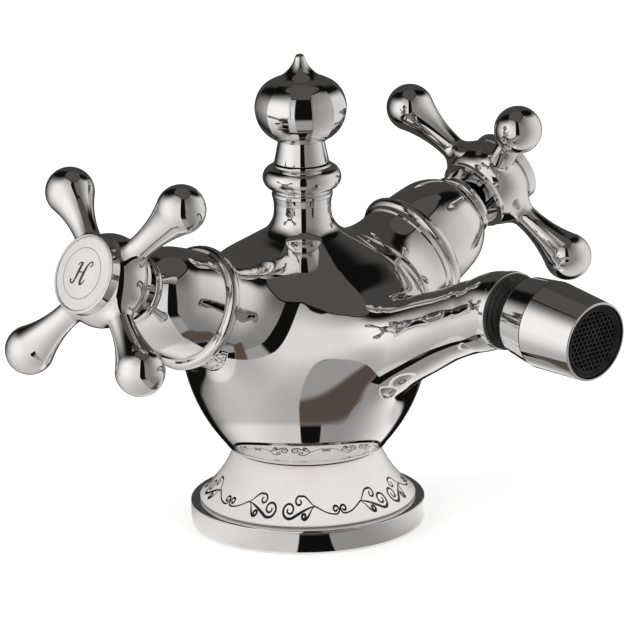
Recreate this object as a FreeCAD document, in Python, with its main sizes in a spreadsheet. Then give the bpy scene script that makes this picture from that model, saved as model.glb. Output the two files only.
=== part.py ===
import FreeCAD, Part
import math
import os
import Sketcher
from types import SimpleNamespace

# Two-handle bidet mixer: chromed brass body on a porcelain bell and a base ring, a spout with a
# ball-jointed nozzle towards -Y, the hot handle on -X, the cold one on +X, a lift knob on top.
# Millimetres and degrees, +Z up, origin at the centre of the base ring's underside.

DIMENSIONS = {
    # gaps
    "running_gap": 0.05, "free_gap": 0.3, "thread_gap": 0.1,
    # base ring and porcelain bell
    "ring_radius": 34.5, "ring_bore": 22.0, "ring_height": 7.3, "ring_edge": 0.6,
    "gasket_inner": 26.0, "gasket_width": 5.0, "gasket_depth": 1.5,
    "washer_inner": 23.5, "washer_width": 4.5, "washer_depth": 0.6,
    "bell_foot": 31.8, "bell_top": 21.6, "bell_height": 15.6, "bell_cove": 34.0, "bell_edge": 0.8,
    "bell_wall_gap": 0.5, "top_washer_width": 4.0, "top_washer_depth": 0.5,
    # body casting
    "spigot_radius": 17.0, "spigot_bottom": 7.7,
    "bulb_radius": 36.6, "bulb_height": 58.0, "bulb_foot": 24.26, "bulb_upper_arc": 27.5,
    "shoulder_angle": 60.0, "neck_radius": 8.4, "neck_fillet": 8.0, "neck_rise": 40.9,
    "neck_lip": 0.4, "neck_lip_height": 2.0,
    "bulb_foot_inset": 2.4, "bulb_foot_height": 1.9, "bulb_foot_arc": 3.2,
    # valve branches
    "axis_drop": 4.3, "branch_tilt": 24.6, "branch_radius": 16.5, "branch_reach": 45.0,
    "branch_fillet": 4.0, "valve_bore": 10.0, "seat_depth": 21.0, "port_radius": 5.0,
    "port_length": 14.0, "gallery_groove": 2.0, "gallery_start": 3.0, "gallery_width": 6.0,
    "gallery_radius": 4.0, "gallery_offset": 11.0, "gallery_rise": 6.0, "gallery_reach": 28.0,
    # water inlets and stud hole in the underside
    "inlet_offset": 10.0, "inlet_core": 4.46, "inlet_thread": 12.0, "inlet_bore": 3.5,
    "stud_offset": 10.5, "stud_core": 3.32, "stud_depth": 12.0,
    # spout stations: share of the reach to the ball, share of the climb to it, radius, rise in degrees
    "root_share": 0.1658, "root_climb": 0.0, "root_radius": 15.5, "root_rise": 36.0, "root_drop": 11.0,
    "throat_share": 0.3834, "throat_climb": 0.3892, "throat_radius": 12.6, "throat_rise": 31.0,
    "arm_share": 0.5233, "arm_climb": 0.5988, "arm_radius": 11.3, "arm_rise": 27.0,
    "mid_share": 0.6425, "mid_climb": 0.7605, "mid_radius": 10.3, "mid_rise": 23.0,
    "arch_share": 0.7617, "arch_climb": 0.9012, "arch_radius": 10.5, "arch_rise": 17.0,
    "spout_fillet": 5.0, "waterway_radius": 5.5, "water_start": 8.0, "water_start_up": 4.0,
    "water_bend_share": 0.3316, "water_bend_up": 1.5, "water_bend_rise": 12.0,
    # spout end and ball nipple, along the nozzle axis from the ball's centre
    "ball_reach": 96.5, "ball_rise": 22.4, "nozzle_drop": 4.9, "spout_end_drop": 2.0, "ball_radius": 9.0,
    "collar_setback": 10.5, "collar_radius": 11.3, "collar_width": 2.2, "collar_edge": 0.5,
    "nipple_thread": 8.0, "nipple_thread_length": 8.0, "nipple_flange": 10.0, "nipple_flange_width": 1.6,
    "nipple_neck": 6.0, "nipple_bore": 3.6, "nipple_seal_wire": 0.55, "nipple_seal_radius": 9.1,
    # swivel nozzle
    "liner_wall": 0.7, "liner_front": 88.0, "liner_rear": 112.0,
    "socket_rear": 4.1, "socket_rear_radius": 11.4, "socket_edge": 0.7, "seam_place": 5.0, "seam_width": 0.3,
    "seam_radius": 12.6, "socket_mouth": 3.4, "socket_thread": 10.85, "socket_reach": 7.0,
    "seat_front": 38.0, "seat_rear": 58.0, "seat_gap": 0.3, "web_width": 2.0, "web_bore": 7.5,
    "nozzle_length": 22.5, "mouth_radius": 11.38, "mouth_edge": 0.35, "mouth_bore": 10.75,
    "seal_height": 1.5, "seal_bore": 8.3, "screen_height": 2.4, "screen_plate": 0.8, "screen_rim": 1.0,
    "screen_hole": 0.9, "screen_circle": 5.0, "insert_height": 7.6, "insert_rim": 1.6, "insert_step": 0.7,
    "cell_width": 1.7, "cell_wall": 0.3,
    # top collar and lift rod
    "collar_thread": 5.5, "collar_thread_length": 8.0, "collar_foot": 8.9, "collar_foot_height": 2.4,
    "collar_ring_foot": 9.5, "collar_ring_height": 6.4, "collar_ring_arc": 3.56, "collar_top_radius": 8.4,
    "collar_top_step": 1.0, "bush_radius": 4.5, "bush_height": 9.0, "rod_radius": 2.5, "rod_bottom": 7.7,
    "collar_cap": 2.0, "rod_seal_wire": 0.95, "rod_bore": 3.2, "lower_bush_radius": 4.2,
    "lower_bush_top": 42.0, "lower_bush_height": 8.0,
    # lift knob
    "stem_foot": 8.0, "stem_top": 6.75, "stem_height": 6.5, "knob_foot": 7.0, "knob_radius": 13.7,
    "knob_belly": 10.0, "knob_lower_arc": 11.2, "knob_shoulder": 7.0, "knob_shoulder_height": 18.5,
    "knob_upper_arc": 9.6, "knob_nib": 1.4, "knob_nib_height": 24.3, "knob_sweep": 9.0,
    "knob_height": 25.6, "gore_depth": 0.045, "knob_socket": 5.0,
    # ceramic valve, along the valve axis
    "valve_body_gap": 0.2, "seat_seal_height": 1.5, "seat_seal_width": 3.3, "disc_radius": 7.7,
    "disc_height": 2.5, "disc_gap": 0.02, "disc_port": 2.0, "disc_port_circle": 4.0, "disc_chamber": 7.9,
    "moving_disc_radius": 7.4, "drive_height": 2.4, "drive_gap": 0.1, "hex_flats": 24.0, "hex_height": 4.0,
    "valve_neck": 7.8, "valve_neck_top": 26.5, "window_width": 6.0, "window_height": 3.5,
    "valve_seal_wire": 0.95, "valve_seal_setback": 2.3,
    "spindle_radius": 4.0, "spindle_reach": 39.5, "spline_radius": 3.9, "spline_length": 8.0,
    "spindle_seal_wire": 0.7, "spindle_seal_pitch": 5.0, "spindle_seal_place": 6.0,
    "clip_outer": 5.2, "clip_depth": 0.6, "clip_height": 0.8, "clip_gap": 0.4, "clip_sweep": 320.0,
    "screw_core": 1.6, "screw_length": 10.0,
    # dome cover and its nut
    "dome_flange": 17.0, "dome_flange_height": 1.4, "dome_bead_height": 3.8, "dome_bead_arc": 1.92,
    "dome_foot": 16.2, "dome_bell_arc": 60.0, "dome_waist": 15.5, "dome_waist_height": 14.0,
    "dome_shoulder_arc": 15.5, "dome_top": 9.6, "dome_height": 24.9, "dome_wall": 1.6,
    "dome_nut_foot": 9.3, "dome_nut_height": 2.5, "dome_nut_arc": 1.38, "sleeve_radius": 6.2,
    "sleeve_wall": 0.6, "sleeve_height": 3.1,
    # cross handle, heights from the branch end face
    "hub_rear": 31.2, "hub_rim": 11.3, "hub_rim_height": 1.2, "hub_rim_wall": 1.7, "hub_boss": 6.0,
    "hub_boss_setback": 0.8, "hub_cup_depth": 3.3, "hub_bulge_arc": 8.2, "hub_face_radius": 11.2,
    "hub_front": 44.0,
    "hub_socket": 8.5, "hub_socket_depth": 3.0, "hub_web": 1.5, "screw_clearance": 2.1,
    "arm_plane": 38.6, "hot_arm_phase": 49.0, "cold_arm_phase": 43.5,
    "arm_root": 10.4, "arm_root_radius": 5.2, "arm_neck_place": 16.0, "arm_neck": 3.65,
    "arm_ball_place": 33.0, "arm_ball": 7.15,
    "screw_head": 3.5, "screw_head_height": 1.6, "screw_slot": 0.9,
    # index
    "bezel_radius": 11.6, "bezel_height": 3.3, "bezel_edge": 0.4, "bezel_skirt": 2.1, "bezel_skirt_wall": 1.0,
    "bezel_floor": 1.2, "index_radius": 10.64, "index_gap": 0.06, "index_edge_height": 2.0,
    "index_crown": 0.9,
}

doc = FreeCAD.newDocument("BidetMixer")
sheet = doc.addObject("Spreadsheet::Sheet", "Sizes")
for row, (alias, number) in enumerate(DIMENSIONS.items(), start=1):
    sheet.set(f"A{row}", alias)
    sheet.set(f"B{row}", str(number))
    sheet.setAlias(f"B{row}", alias)
doc.recompute()


class Size:
    """A dimension that carries its number and the sheet formula behind it."""

    def __init__(self, value, formula):
        self.value = float(value)
        self.formula = formula

    def __add__(self, other):
        other = size(other)
        return Size(self.value + other.value, f"({self.formula} + {other.formula})")

    def __sub__(self, other):
        other = size(other)
        return Size(self.value - other.value, f"({self.formula} - {other.formula})")

    def __mul__(self, other):
        other = size(other)
        return Size(self.value * other.value, f"({self.formula} * {other.formula})")

    def __truediv__(self, other):
        other = size(other)
        return Size(self.value / other.value, f"({self.formula} / {other.formula})")

    def __radd__(self, other):
        return size(other) + self

    def __rsub__(self, other):
        return size(other) - self

    def __rmul__(self, other):
        return size(other) * self

    def __neg__(self):
        return size(0) - self


def size(item):
    return item if isinstance(item, Size) else Size(item, str(float(item)))


def cosine(angle):
    return Size(math.cos(math.radians(angle.value)), f"cos({angle.formula} * 1 deg)")


def sine(angle):
    return Size(math.sin(math.radians(angle.value)), f"sin({angle.formula} * 1 deg)")


def root(square):
    return Size(math.sqrt(square.value), f"sqrt({square.formula})")


def half_chord(radius, distance):
    return root(radius * radius - distance * distance)


d = SimpleNamespace(**{alias: Size(number, f"Sizes.{alias}") for alias, number in DIMENSIONS.items()})

# Heights that follow the bulb
d.neck_top = d.bulb_height + d.neck_rise
d.axis_height = d.bulb_height - d.axis_drop
d.root_height = d.bulb_height - d.root_drop
d.ball_height = d.bulb_height + d.ball_rise

X_AXIS = FreeCAD.Vector(1, 0, 0)
Y_AXIS = FreeCAD.Vector(0, 1, 0)
Z_AXIS = FreeCAD.Vector(0, 0, 1)
HOT, COLD = -1, 1
SIDES = {"hot": HOT, "cold": COLD}
pieces = []


def bind(target, name, amount):
    amount = size(amount)
    if "Sizes." in amount.formula:
        target.setExpression(name, amount.formula)


def place(target, frame, name="Placement"):
    """A frame is a base point, an axis to turn about and the angle of the turn."""
    base, axis, angle = frame
    corner = FreeCAD.Vector(*[size(amount).value for amount in base])
    setattr(target, name, FreeCAD.Placement(corner, FreeCAD.Rotation(axis, size(angle).value)))
    for letter, amount in zip("xyz", base):
        bind(target, f"{name}.Base.{letter}", amount)
    bind(target, f"{name}.Rotation.Angle", angle)


def upright(height):
    return ((0, 0, height), Z_AXIS, 0)


def valve_frame(side, out=0):
    """Local Z points out along a handle's axis, `out` from the body's centre line."""
    along = size(out)
    return ((side * along * cosine(d.branch_tilt), 0, d.axis_height + along * sine(d.branch_tilt)),
            Y_AXIS, side * (90 - d.branch_tilt))


def ball_frame(drop, out):
    along = size(out)
    return ((0, -d.ball_reach - along * cosine(drop), d.ball_height - along * sine(drop)), X_AXIS, 90 + drop)


def nozzle_frame(out=0):
    """Local Z points out of the nozzle, `out` from the ball's centre."""
    return ball_frame(d.nozzle_drop, out)


def spout_end_frame(out=0):
    """Local Z points out of the spout's end, `out` from the ball's centre."""
    return ball_frame(d.spout_end_drop, out)


def new_body(label, frame=upright(0)):
    piece = doc.addObject("PartDesign::Body", label)
    piece.Label = label
    place(piece, frame)
    pieces.append(piece)
    return piece


def attach(feature, piece, role, frame=None):
    plane = next(item for item in piece.Origin.OriginFeatures if item.Role == role)
    feature.AttachmentSupport = [(plane, "")]
    feature.MapMode = "FlatFace"
    if frame:
        place(feature, frame, "AttachmentOffset")


def new_sketch(piece, name, role, frame=None):
    sketch = piece.newObject("Sketcher::SketchObject", name)
    attach(sketch, piece, role, frame)
    return sketch


def pin_point(sketch, edge, end, x, y):
    """Holds one point of a sketch at its two coordinates."""
    for kind, axis, amount in (("DistanceX", -2, size(x)), ("DistanceY", -1, size(y))):
        if amount.formula == "0.0":
            sketch.addConstraint(Sketcher.Constraint("PointOnObject", edge, end, axis))
        else:
            index = sketch.addConstraint(Sketcher.Constraint(kind, edge, end, amount.value))
            bind(sketch, f"Constraints[{index}]", amount)


def arc_between(start, finish, radius, turn):
    """The shorter arc from start to finish; turn 1 curves left, -1 curves right."""
    chord = finish - start
    height = math.sqrt(max(radius ** 2 - (chord.Length / 2) ** 2, 0))
    across = FreeCAD.Vector(-chord.y, chord.x, 0).normalize()
    centre = (start + finish) / 2 + across * height * turn
    first, last = (start, finish) if turn > 0 else (finish, start)
    angles = [math.atan2(point.y - centre.y, point.x - centre.x) for point in (first, last)]
    return Part.ArcOfCircle(Part.Circle(centre, Z_AXIS, radius), *angles)


def draw(sketch, outline):
    """Closed outline of (x, y) corners; (x, y, radius, turn) starts an arc to the next corner."""
    points = [FreeCAD.Vector(size(corner[0]).value, size(corner[1]).value, 0) for corner in outline]
    ends = []
    for index, corner in enumerate(outline):
        start, finish = points[index], points[(index + 1) % len(points)]
        if len(corner) == 2:
            edge = sketch.addGeometry(Part.LineSegment(start, finish))
            ends.append((edge, 1, 2))
        else:
            radius, turn = size(corner[2]), corner[3]
            edge = sketch.addGeometry(arc_between(start, finish, radius.value, turn))
            ends.append((edge, 1, 2) if turn > 0 else (edge, 2, 1))
    for index, corner in enumerate(outline):
        edge, first, last = ends[index]
        before, unused, before_last = ends[index - 1]
        sketch.addConstraint(Sketcher.Constraint("Coincident", before, before_last, edge, first))
        pin_point(sketch, edge, first, corner[0], corner[1])
    for (edge, first, last), corner in zip(ends, outline):
        if len(corner) > 2:
            radius = size(corner[2])
            index = sketch.addConstraint(Sketcher.Constraint("Radius", edge, radius.value))
            bind(sketch, f"Constraints[{index}]", radius)


def draw_circle(sketch, radius, x=0, y=0):
    radius = size(radius)
    centre = FreeCAD.Vector(size(x).value, size(y).value, 0)
    edge = sketch.addGeometry(Part.Circle(centre, Z_AXIS, radius.value))
    pin_point(sketch, edge, 3, x, y)
    index = sketch.addConstraint(Sketcher.Constraint("Radius", edge, radius.value))
    bind(sketch, f"Constraints[{index}]", radius)


def revolve(piece, name, outline, sweep=360):
    """Turns an outline of radius and height about the piece's Z axis."""
    sketch = new_sketch(piece, f"{name}Profile", "XZ_Plane")
    draw(sketch, outline)
    feature = piece.newObject("PartDesign::Revolution", name)
    feature.Profile = sketch
    feature.ReferenceAxis = (sketch, ["V_Axis"])
    feature.Angle = size(sweep).value
    bind(feature, "Angle", sweep)
    return feature


def turned(label, outline, frame=upright(0), sweep=360):
    piece = new_body(label, frame)
    revolve(piece, "Turned", outline, sweep)
    return piece


def rectangle(inner, outer, low, high):
    return [(inner, low), (outer, low), (outer, high), (inner, high)]


def primitive(piece, kind, name, frame, **amounts):
    feature = piece.newObject(f"PartDesign::{kind}", name)
    attach(feature, piece, "XY_Plane", frame)
    for key, amount in amounts.items():
        setattr(feature, key, size(amount).value)
        bind(feature, key, amount)
    return feature


def drill(piece, name, frame, radius, length):
    return primitive(piece, "SubtractiveCylinder", name, frame, Radius=radius, Height=length)


def o_ring(label, centre_radius, wire, frame):
    ring = doc.addObject("Part::Torus", label)
    ring.Label = label
    bind(ring, "Radius1", centre_radius)
    bind(ring, "Radius2", wire)
    place(ring, frame)
    pieces.append(ring)
    return ring


def edges_between(feature, is_first, is_second):
    """Names of the edges where a face of one kind meets a face of another kind."""
    doc.recompute()
    names = []
    for index, edge in enumerate(feature.Shape.Edges, start=1):
        faces = feature.Shape.ancestorsOfType(edge, Part.Face)
        if len(faces) == 2:
            one, two = faces
            if (is_first(one) and is_second(two)) or (is_first(two) and is_second(one)):
                names.append(f"Edge{index}")
    return names


def round_edges(piece, name, feature, names, radius):
    fillet = piece.newObject("PartDesign::Fillet", name)
    fillet.Base = (feature, names)
    fillet.Radius = radius.value
    bind(fillet, "Radius", radius)
    return fillet


# Base ring, its gasket and washer, and the porcelain bell

gasket_outer = d.gasket_inner + d.gasket_width
washer_outer = d.washer_inner + d.washer_width
washer_floor = d.ring_height - d.washer_depth
bell_bore = d.spigot_radius + d.bell_wall_gap
bell_rim = d.ring_height + d.bell_height
body_seat = bell_rim + d.top_washer_depth

turned("base_ring", [
    (d.ring_bore, 0), (d.gasket_inner, 0), (d.gasket_inner, d.gasket_depth),
    (gasket_outer, d.gasket_depth), (gasket_outer, 0),
    (d.ring_radius - d.ring_edge, 0, d.ring_edge, 1), (d.ring_radius, d.ring_edge),
    (d.ring_radius, d.ring_height - d.ring_edge, d.ring_edge, 1),
    (d.ring_radius - d.ring_edge, d.ring_height), (washer_outer, d.ring_height),
    (washer_outer, washer_floor), (d.washer_inner, washer_floor),
    (d.washer_inner, d.ring_height), (d.ring_bore, d.ring_height)])
turned("base_gasket", rectangle(d.gasket_inner, gasket_outer, 0, d.gasket_depth))
turned("ring_washer", rectangle(d.washer_inner, washer_outer, washer_floor, d.ring_height))
turned("porcelain_base", [
    (bell_bore, d.ring_height), (d.bell_foot - d.bell_edge, d.ring_height, d.bell_edge, 1),
    (d.bell_foot, d.ring_height + d.bell_edge, d.bell_cove, -1),
    (d.bell_top, bell_rim), (bell_bore, bell_rim)])
turned("porcelain_washer", rectangle(bell_bore, bell_bore + d.top_washer_width, bell_rim, body_seat))

# Body casting: bulb, neck and spigot turned in one, then branches and spout

foot_top = body_seat + d.bulb_foot_height
foot_inset = d.bulb_radius - d.bulb_foot
foot_fall = d.bulb_height - foot_top
lower_arc = (foot_inset * foot_inset + foot_fall * foot_fall) / (2 * foot_inset)
shoulder_radius = d.bulb_radius - d.bulb_upper_arc + d.bulb_upper_arc * cosine(d.shoulder_angle)
shoulder_height = d.bulb_height + d.bulb_upper_arc * sine(d.shoulder_angle)
shoulder_fall = cosine(d.shoulder_angle) / sine(d.shoulder_angle)
neck_corner = shoulder_height + (shoulder_radius - d.neck_radius) * shoulder_fall
half_turn = d.shoulder_angle / 2
neck_tangent = d.neck_fillet * sine(half_turn) / cosine(half_turn)

body = new_body("body_casting")
revolve(body, "Bulb", [
    (0, d.spigot_bottom), (d.spigot_radius, d.spigot_bottom), (d.spigot_radius, body_seat),
    (d.bulb_foot - d.bulb_foot_inset, body_seat, d.bulb_foot_arc, 1),
    (d.bulb_foot, foot_top, lower_arc, 1),
    (d.bulb_radius, d.bulb_height, d.bulb_upper_arc, 1),
    (shoulder_radius, shoulder_height),
    (d.neck_radius + neck_tangent * sine(d.shoulder_angle),
     neck_corner - neck_tangent * cosine(d.shoulder_angle), d.neck_fillet, -1),
    (d.neck_radius, neck_corner + neck_tangent),
    (d.neck_radius, d.neck_top - d.neck_lip_height),
    (d.neck_radius + d.neck_lip, d.neck_top), (0, d.neck_top)])

climb = d.ball_height - d.root_height
stations = [(d.ball_reach * getattr(d, f"{name}_share"), d.root_height + climb * getattr(d, f"{name}_climb"),
             getattr(d, f"{name}_radius"), getattr(d, f"{name}_rise"))
            for name in ("root", "throat", "arm", "mid", "arch")]
collar_rear = spout_end_frame(-d.collar_setback - d.collar_width)


def spout_frame(reach, height, rise):
    return ((0, -reach, height), X_AXIS, 90 - rise)


def ring_sketch(name, frame, radius):
    sketch = new_sketch(body, name, "XY_Plane", frame)
    draw_circle(sketch, radius)
    return sketch


def loft(kind, name, sections):
    feature = body.newObject(kind, name)
    feature.Profile = sections[0]
    feature.Sections = sections[1:]
    return feature


sections = [ring_sketch(f"SpoutRing{index}", spout_frame(reach, height, rise), radius)
            for index, (reach, height, radius, rise) in enumerate(stations)]
sections.append(ring_sketch("SpoutRingEnd", collar_rear, d.collar_radius - d.collar_edge))
spout = loft("PartDesign::AdditiveLoft", "Spout", sections)


def is_bulb(face):
    return not isinstance(face.Surface, (Part.Plane, Part.Cylinder, Part.Cone, Part.BSplineSurface))


def is_spout(face):
    return isinstance(face.Surface, Part.BSplineSurface)


def is_branch(face):
    surface = face.Surface
    return isinstance(surface, Part.Cylinder) and abs(surface.Radius - d.branch_radius.value) < 1e-6


spout_root = edges_between(spout, is_bulb, is_spout)
last = round_edges(body, "SpoutRoot", spout, spout_root, d.spout_fillet)
for name, side in SIDES.items():
    last = primitive(body, "AdditiveCylinder", f"{name}Branch", valve_frame(side),
                     Radius=d.branch_radius, Height=d.branch_reach)
branch_roots = edges_between(last, is_bulb, is_branch)
last = round_edges(body, "BranchRoots", last, branch_roots, d.branch_fillet)
primitive(body, "AdditiveCylinder", "SpoutCollar", collar_rear, Radius=d.collar_radius, Height=d.collar_width)

# Waterways, valve seats, rod passage and threaded holes of the body

valve_floor = d.branch_reach - d.seat_depth
inlet_rise = d.bulb_height - d.spigot_bottom
gallery_height = d.bulb_height + d.gallery_rise
for name, side in SIDES.items():
    drill(body, f"{name}ValveBore", valve_frame(side, valve_floor), d.valve_bore, d.seat_depth)
    drill(body, f"{name}Gallery", valve_frame(side, valve_floor + d.gallery_start),
          d.valve_bore + d.gallery_groove, d.gallery_width)
    drill(body, f"{name}Port", valve_frame(side, valve_floor - d.port_length), d.port_radius, d.port_length)
    inlet = side * d.inlet_offset
    drill(body, f"{name}InletThread", ((inlet, 0, d.spigot_bottom), Z_AXIS, 0), d.inlet_core, d.inlet_thread)
    drill(body, f"{name}Inlet", ((inlet, 0, d.spigot_bottom), Z_AXIS, 0), d.inlet_bore, inlet_rise)
drill(body, "MixingGallery", ((-d.gallery_reach, -d.gallery_offset, gallery_height), Y_AXIS, 90),
      d.gallery_radius, 2 * d.gallery_reach)
drill(body, "StudHole", ((0, d.stud_offset, d.spigot_bottom), Z_AXIS, 0), d.stud_core, d.stud_depth)
drill(body, "RodBore", upright(d.spigot_bottom), d.rod_bore, d.neck_top - d.spigot_bottom)
drill(body, "LowerBushBore", upright(d.spigot_bottom),
      d.lower_bush_radius, d.lower_bush_top - d.spigot_bottom)
collar_bottom = d.neck_top - d.collar_thread_length
drill(body, "CollarThread", upright(collar_bottom), d.collar_thread, d.collar_thread_length)
bends = [(d.water_start, d.bulb_height + d.water_start_up, size(0)),
         (d.ball_reach * d.water_bend_share, d.bulb_height + d.water_bend_up, d.water_bend_rise)]
bends += [(reach, height, rise) for reach, height, radius, rise in stations[2:]]
water = [ring_sketch(f"WaterRing{index}", spout_frame(*bend), d.waterway_radius)
         for index, bend in enumerate(bends)]
water.append(ring_sketch("WaterEnd", collar_rear, d.waterway_radius))
loft("PartDesign::SubtractiveLoft", "Waterway", water)
nipple_rear = d.collar_setback + d.nipple_thread_length
drill(body, "NippleThread", spout_end_frame(-nipple_rear), d.nipple_thread, d.nipple_thread_length)
nipple_seal_depth = 2 * d.nipple_seal_wire
drill(body, "NippleSealSeat", spout_end_frame(-d.collar_setback - nipple_seal_depth),
      d.nipple_seal_radius + d.nipple_seal_wire, nipple_seal_depth)

# Top collar with its bush and seal, and the lower guide of the lift rod

collar_ring_low = d.neck_top + d.collar_foot_height
collar_ring_high = collar_ring_low + d.collar_ring_height
collar_top = collar_ring_high + d.collar_top_step
bush_top = collar_top - d.collar_cap
bush_low = bush_top - d.bush_height
rod_slide = d.rod_radius + d.running_gap

turned("top_collar", [
    (d.bush_radius, collar_bottom), (d.collar_thread, collar_bottom), (d.collar_thread, d.neck_top),
    (d.collar_foot, d.neck_top), (d.collar_foot, d.neck_top + d.collar_foot_height / 2),
    (d.collar_ring_foot, collar_ring_low, d.collar_ring_arc, 1), (d.collar_ring_foot, collar_ring_high),
    (d.collar_top_radius, collar_top), (d.rod_bore, collar_top), (d.rod_bore, bush_top),
    (d.bush_radius, bush_top)])
turned("rod_bush", rectangle(rod_slide, d.bush_radius, bush_low, bush_top))
o_ring("rod_o_ring", d.bush_radius - d.rod_seal_wire, d.rod_seal_wire, upright(bush_low - d.rod_seal_wire))
turned("rod_lower_bush", rectangle(rod_slide, d.lower_bush_radius,
                                   d.lower_bush_top - d.lower_bush_height, d.lower_bush_top))

# Lift knob: fluted onion on a conical stem, screwed to the rod

stem_low = collar_top + d.free_gap
knob_low = stem_low + d.stem_height
belly = knob_low + d.knob_belly
socket_top = knob_low + d.knob_socket

turned("lift_rod", [
    (0, d.rod_bottom), (d.rod_radius, d.rod_bottom), (d.rod_radius, socket_top), (0, socket_top)])
turned("knob_stem", [
    (d.rod_radius, stem_low), (d.stem_foot, stem_low), (d.stem_top, knob_low), (d.rod_radius, knob_low)])


def onion_side(share):
    """Side of the onion from its foot to its nib, drawn in to a share of its radius."""
    return [
        (d.knob_foot * share, knob_low, d.knob_lower_arc, 1),
        (d.knob_radius * share, belly, d.knob_upper_arc, 1),
        (d.knob_shoulder * share, knob_low + d.knob_shoulder_height, d.knob_sweep, -1),
        (d.knob_nib * share, knob_low + d.knob_nib_height)]


knob = new_body("finial_knob")
knob_top = knob_low + d.knob_height
tip = d.knob_height - d.knob_nib_height
nib = (d.knob_nib, knob_low + d.knob_nib_height, (d.knob_nib * d.knob_nib + tip * tip) / (2 * tip), 1)
revolve(knob, "Onion", [(0, socket_top), (d.rod_radius, socket_top), (d.rod_radius, knob_low)]
        + onion_side(size(1))[:-1] + [nib, (0, knob_top)])
gore_sketch = new_sketch(knob, "GoreOutline", "XZ_Plane")
beyond = 2 * d.knob_radius
draw(gore_sketch, onion_side(1 - d.gore_depth) + [(beyond, knob_low + d.knob_nib_height), (beyond, knob_low)])
gore = knob.newObject("PartDesign::Pocket", "Gore")
gore.Profile = gore_sketch
gore.Midplane = True
gore.Length = beyond.value
bind(gore, "Length", beyond)
doc.recompute()


def polar(piece, name, feature, count):
    """Repeats a feature about the piece's own Z axis."""
    axis = next(item for item in piece.Origin.OriginFeatures if item.Role == "Z_Axis")
    pattern = piece.newObject("PartDesign::PolarPattern", name)
    pattern.Originals = [feature]
    pattern.Axis = (axis, [""])
    pattern.Angle = 360
    pattern.Occurrences = count
    piece.Tip = pattern
    return pattern


GORES = 8
polar(knob, "Gores", gore, GORES)

# Ceramic valves, domes and cross handles, the same on both sides

end_face = d.branch_reach
seal_top = valve_floor + d.seat_seal_height
disc_top = seal_top + d.disc_height
moving_low = disc_top + d.disc_gap
moving_top = moving_low + d.disc_height
drive_top = moving_top + d.drive_height
chamber_top = drive_top + d.drive_gap
valve_outer = d.valve_bore - d.valve_body_gap
neck_end = end_face + d.valve_neck_top
seal_groove = d.valve_bore - 2 * d.valve_seal_wire
seal_middle = end_face - d.valve_seal_setback
groove_low = seal_middle - d.valve_seal_wire - d.thread_gap
groove_high = seal_middle + d.valve_seal_wire + d.thread_gap
spindle_bore = d.spindle_radius + d.running_gap
spindle_top = end_face + d.spindle_reach
spindle_groove = d.spindle_radius - 2 * d.spindle_seal_wire
spindle_seals = [chamber_top + d.spindle_seal_place + index * d.spindle_seal_pitch for index in range(2)]
clip_low = neck_end + d.clip_gap
clip_high = clip_low + d.clip_height
clip_inner = d.spindle_radius - d.clip_depth
tap_low = spindle_top - d.screw_length
dome_top = end_face + d.dome_height
nut_top = dome_top + d.dome_nut_height
nut_step = neck_end + d.thread_gap
hub_floor = end_face + d.hub_front - d.hub_socket_depth
hub_face = end_face + d.hub_front
HEX_SIDES = 6
ARMS = 4


def valve_body(name, side):
    piece = new_body(f"{name}_valve_body", valve_frame(side))
    revolve(piece, "Barrel", [
        (d.disc_chamber, seal_top), (valve_outer, seal_top), (valve_outer, groove_low),
        (seal_groove, groove_low), (seal_groove, groove_high), (valve_outer, groove_high),
        (valve_outer, end_face + d.hex_height), (d.valve_neck, end_face + d.hex_height),
        (d.valve_neck, neck_end), (spindle_bore, neck_end), (spindle_bore, chamber_top),
        (d.disc_chamber, chamber_top)])
    flange = new_sketch(piece, "HexOutline", "XY_Plane", upright(end_face))
    corner = d.hex_flats / 2 / cosine(size(180 / HEX_SIDES))
    turns = [size(360 / HEX_SIDES * index) for index in range(HEX_SIDES)]
    draw(flange, [(corner * cosine(turn), corner * sine(turn)) for turn in turns])
    draw_circle(flange, d.valve_neck)
    pad = piece.newObject("PartDesign::Pad", "Hex")
    pad.Profile = flange
    pad.Length = d.hex_height.value
    bind(pad, "Length", d.hex_height)
    primitive(piece, "SubtractiveBox", "Windows",
              ((-d.valve_bore, -d.window_width / 2, moving_low), Z_AXIS, 0),
              Length=2 * d.valve_bore, Width=d.window_width, Height=d.window_height)


def ported_disc(label, side, radius, low, across):
    """Ceramic disc with two round ports; across turns the pair by a quarter turn."""
    piece = new_body(label, valve_frame(side))
    sketch = new_sketch(piece, "DiscOutline", "XY_Plane", upright(low))
    draw_circle(sketch, radius)
    for sign in (-1, 1):
        reach = sign * d.disc_port_circle
        draw_circle(sketch, d.disc_port, 0 if across else reach, reach if across else 0)
    pad = piece.newObject("PartDesign::Pad", "Disc")
    pad.Profile = sketch
    pad.Length = d.disc_height.value
    bind(pad, "Length", d.disc_height)


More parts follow.
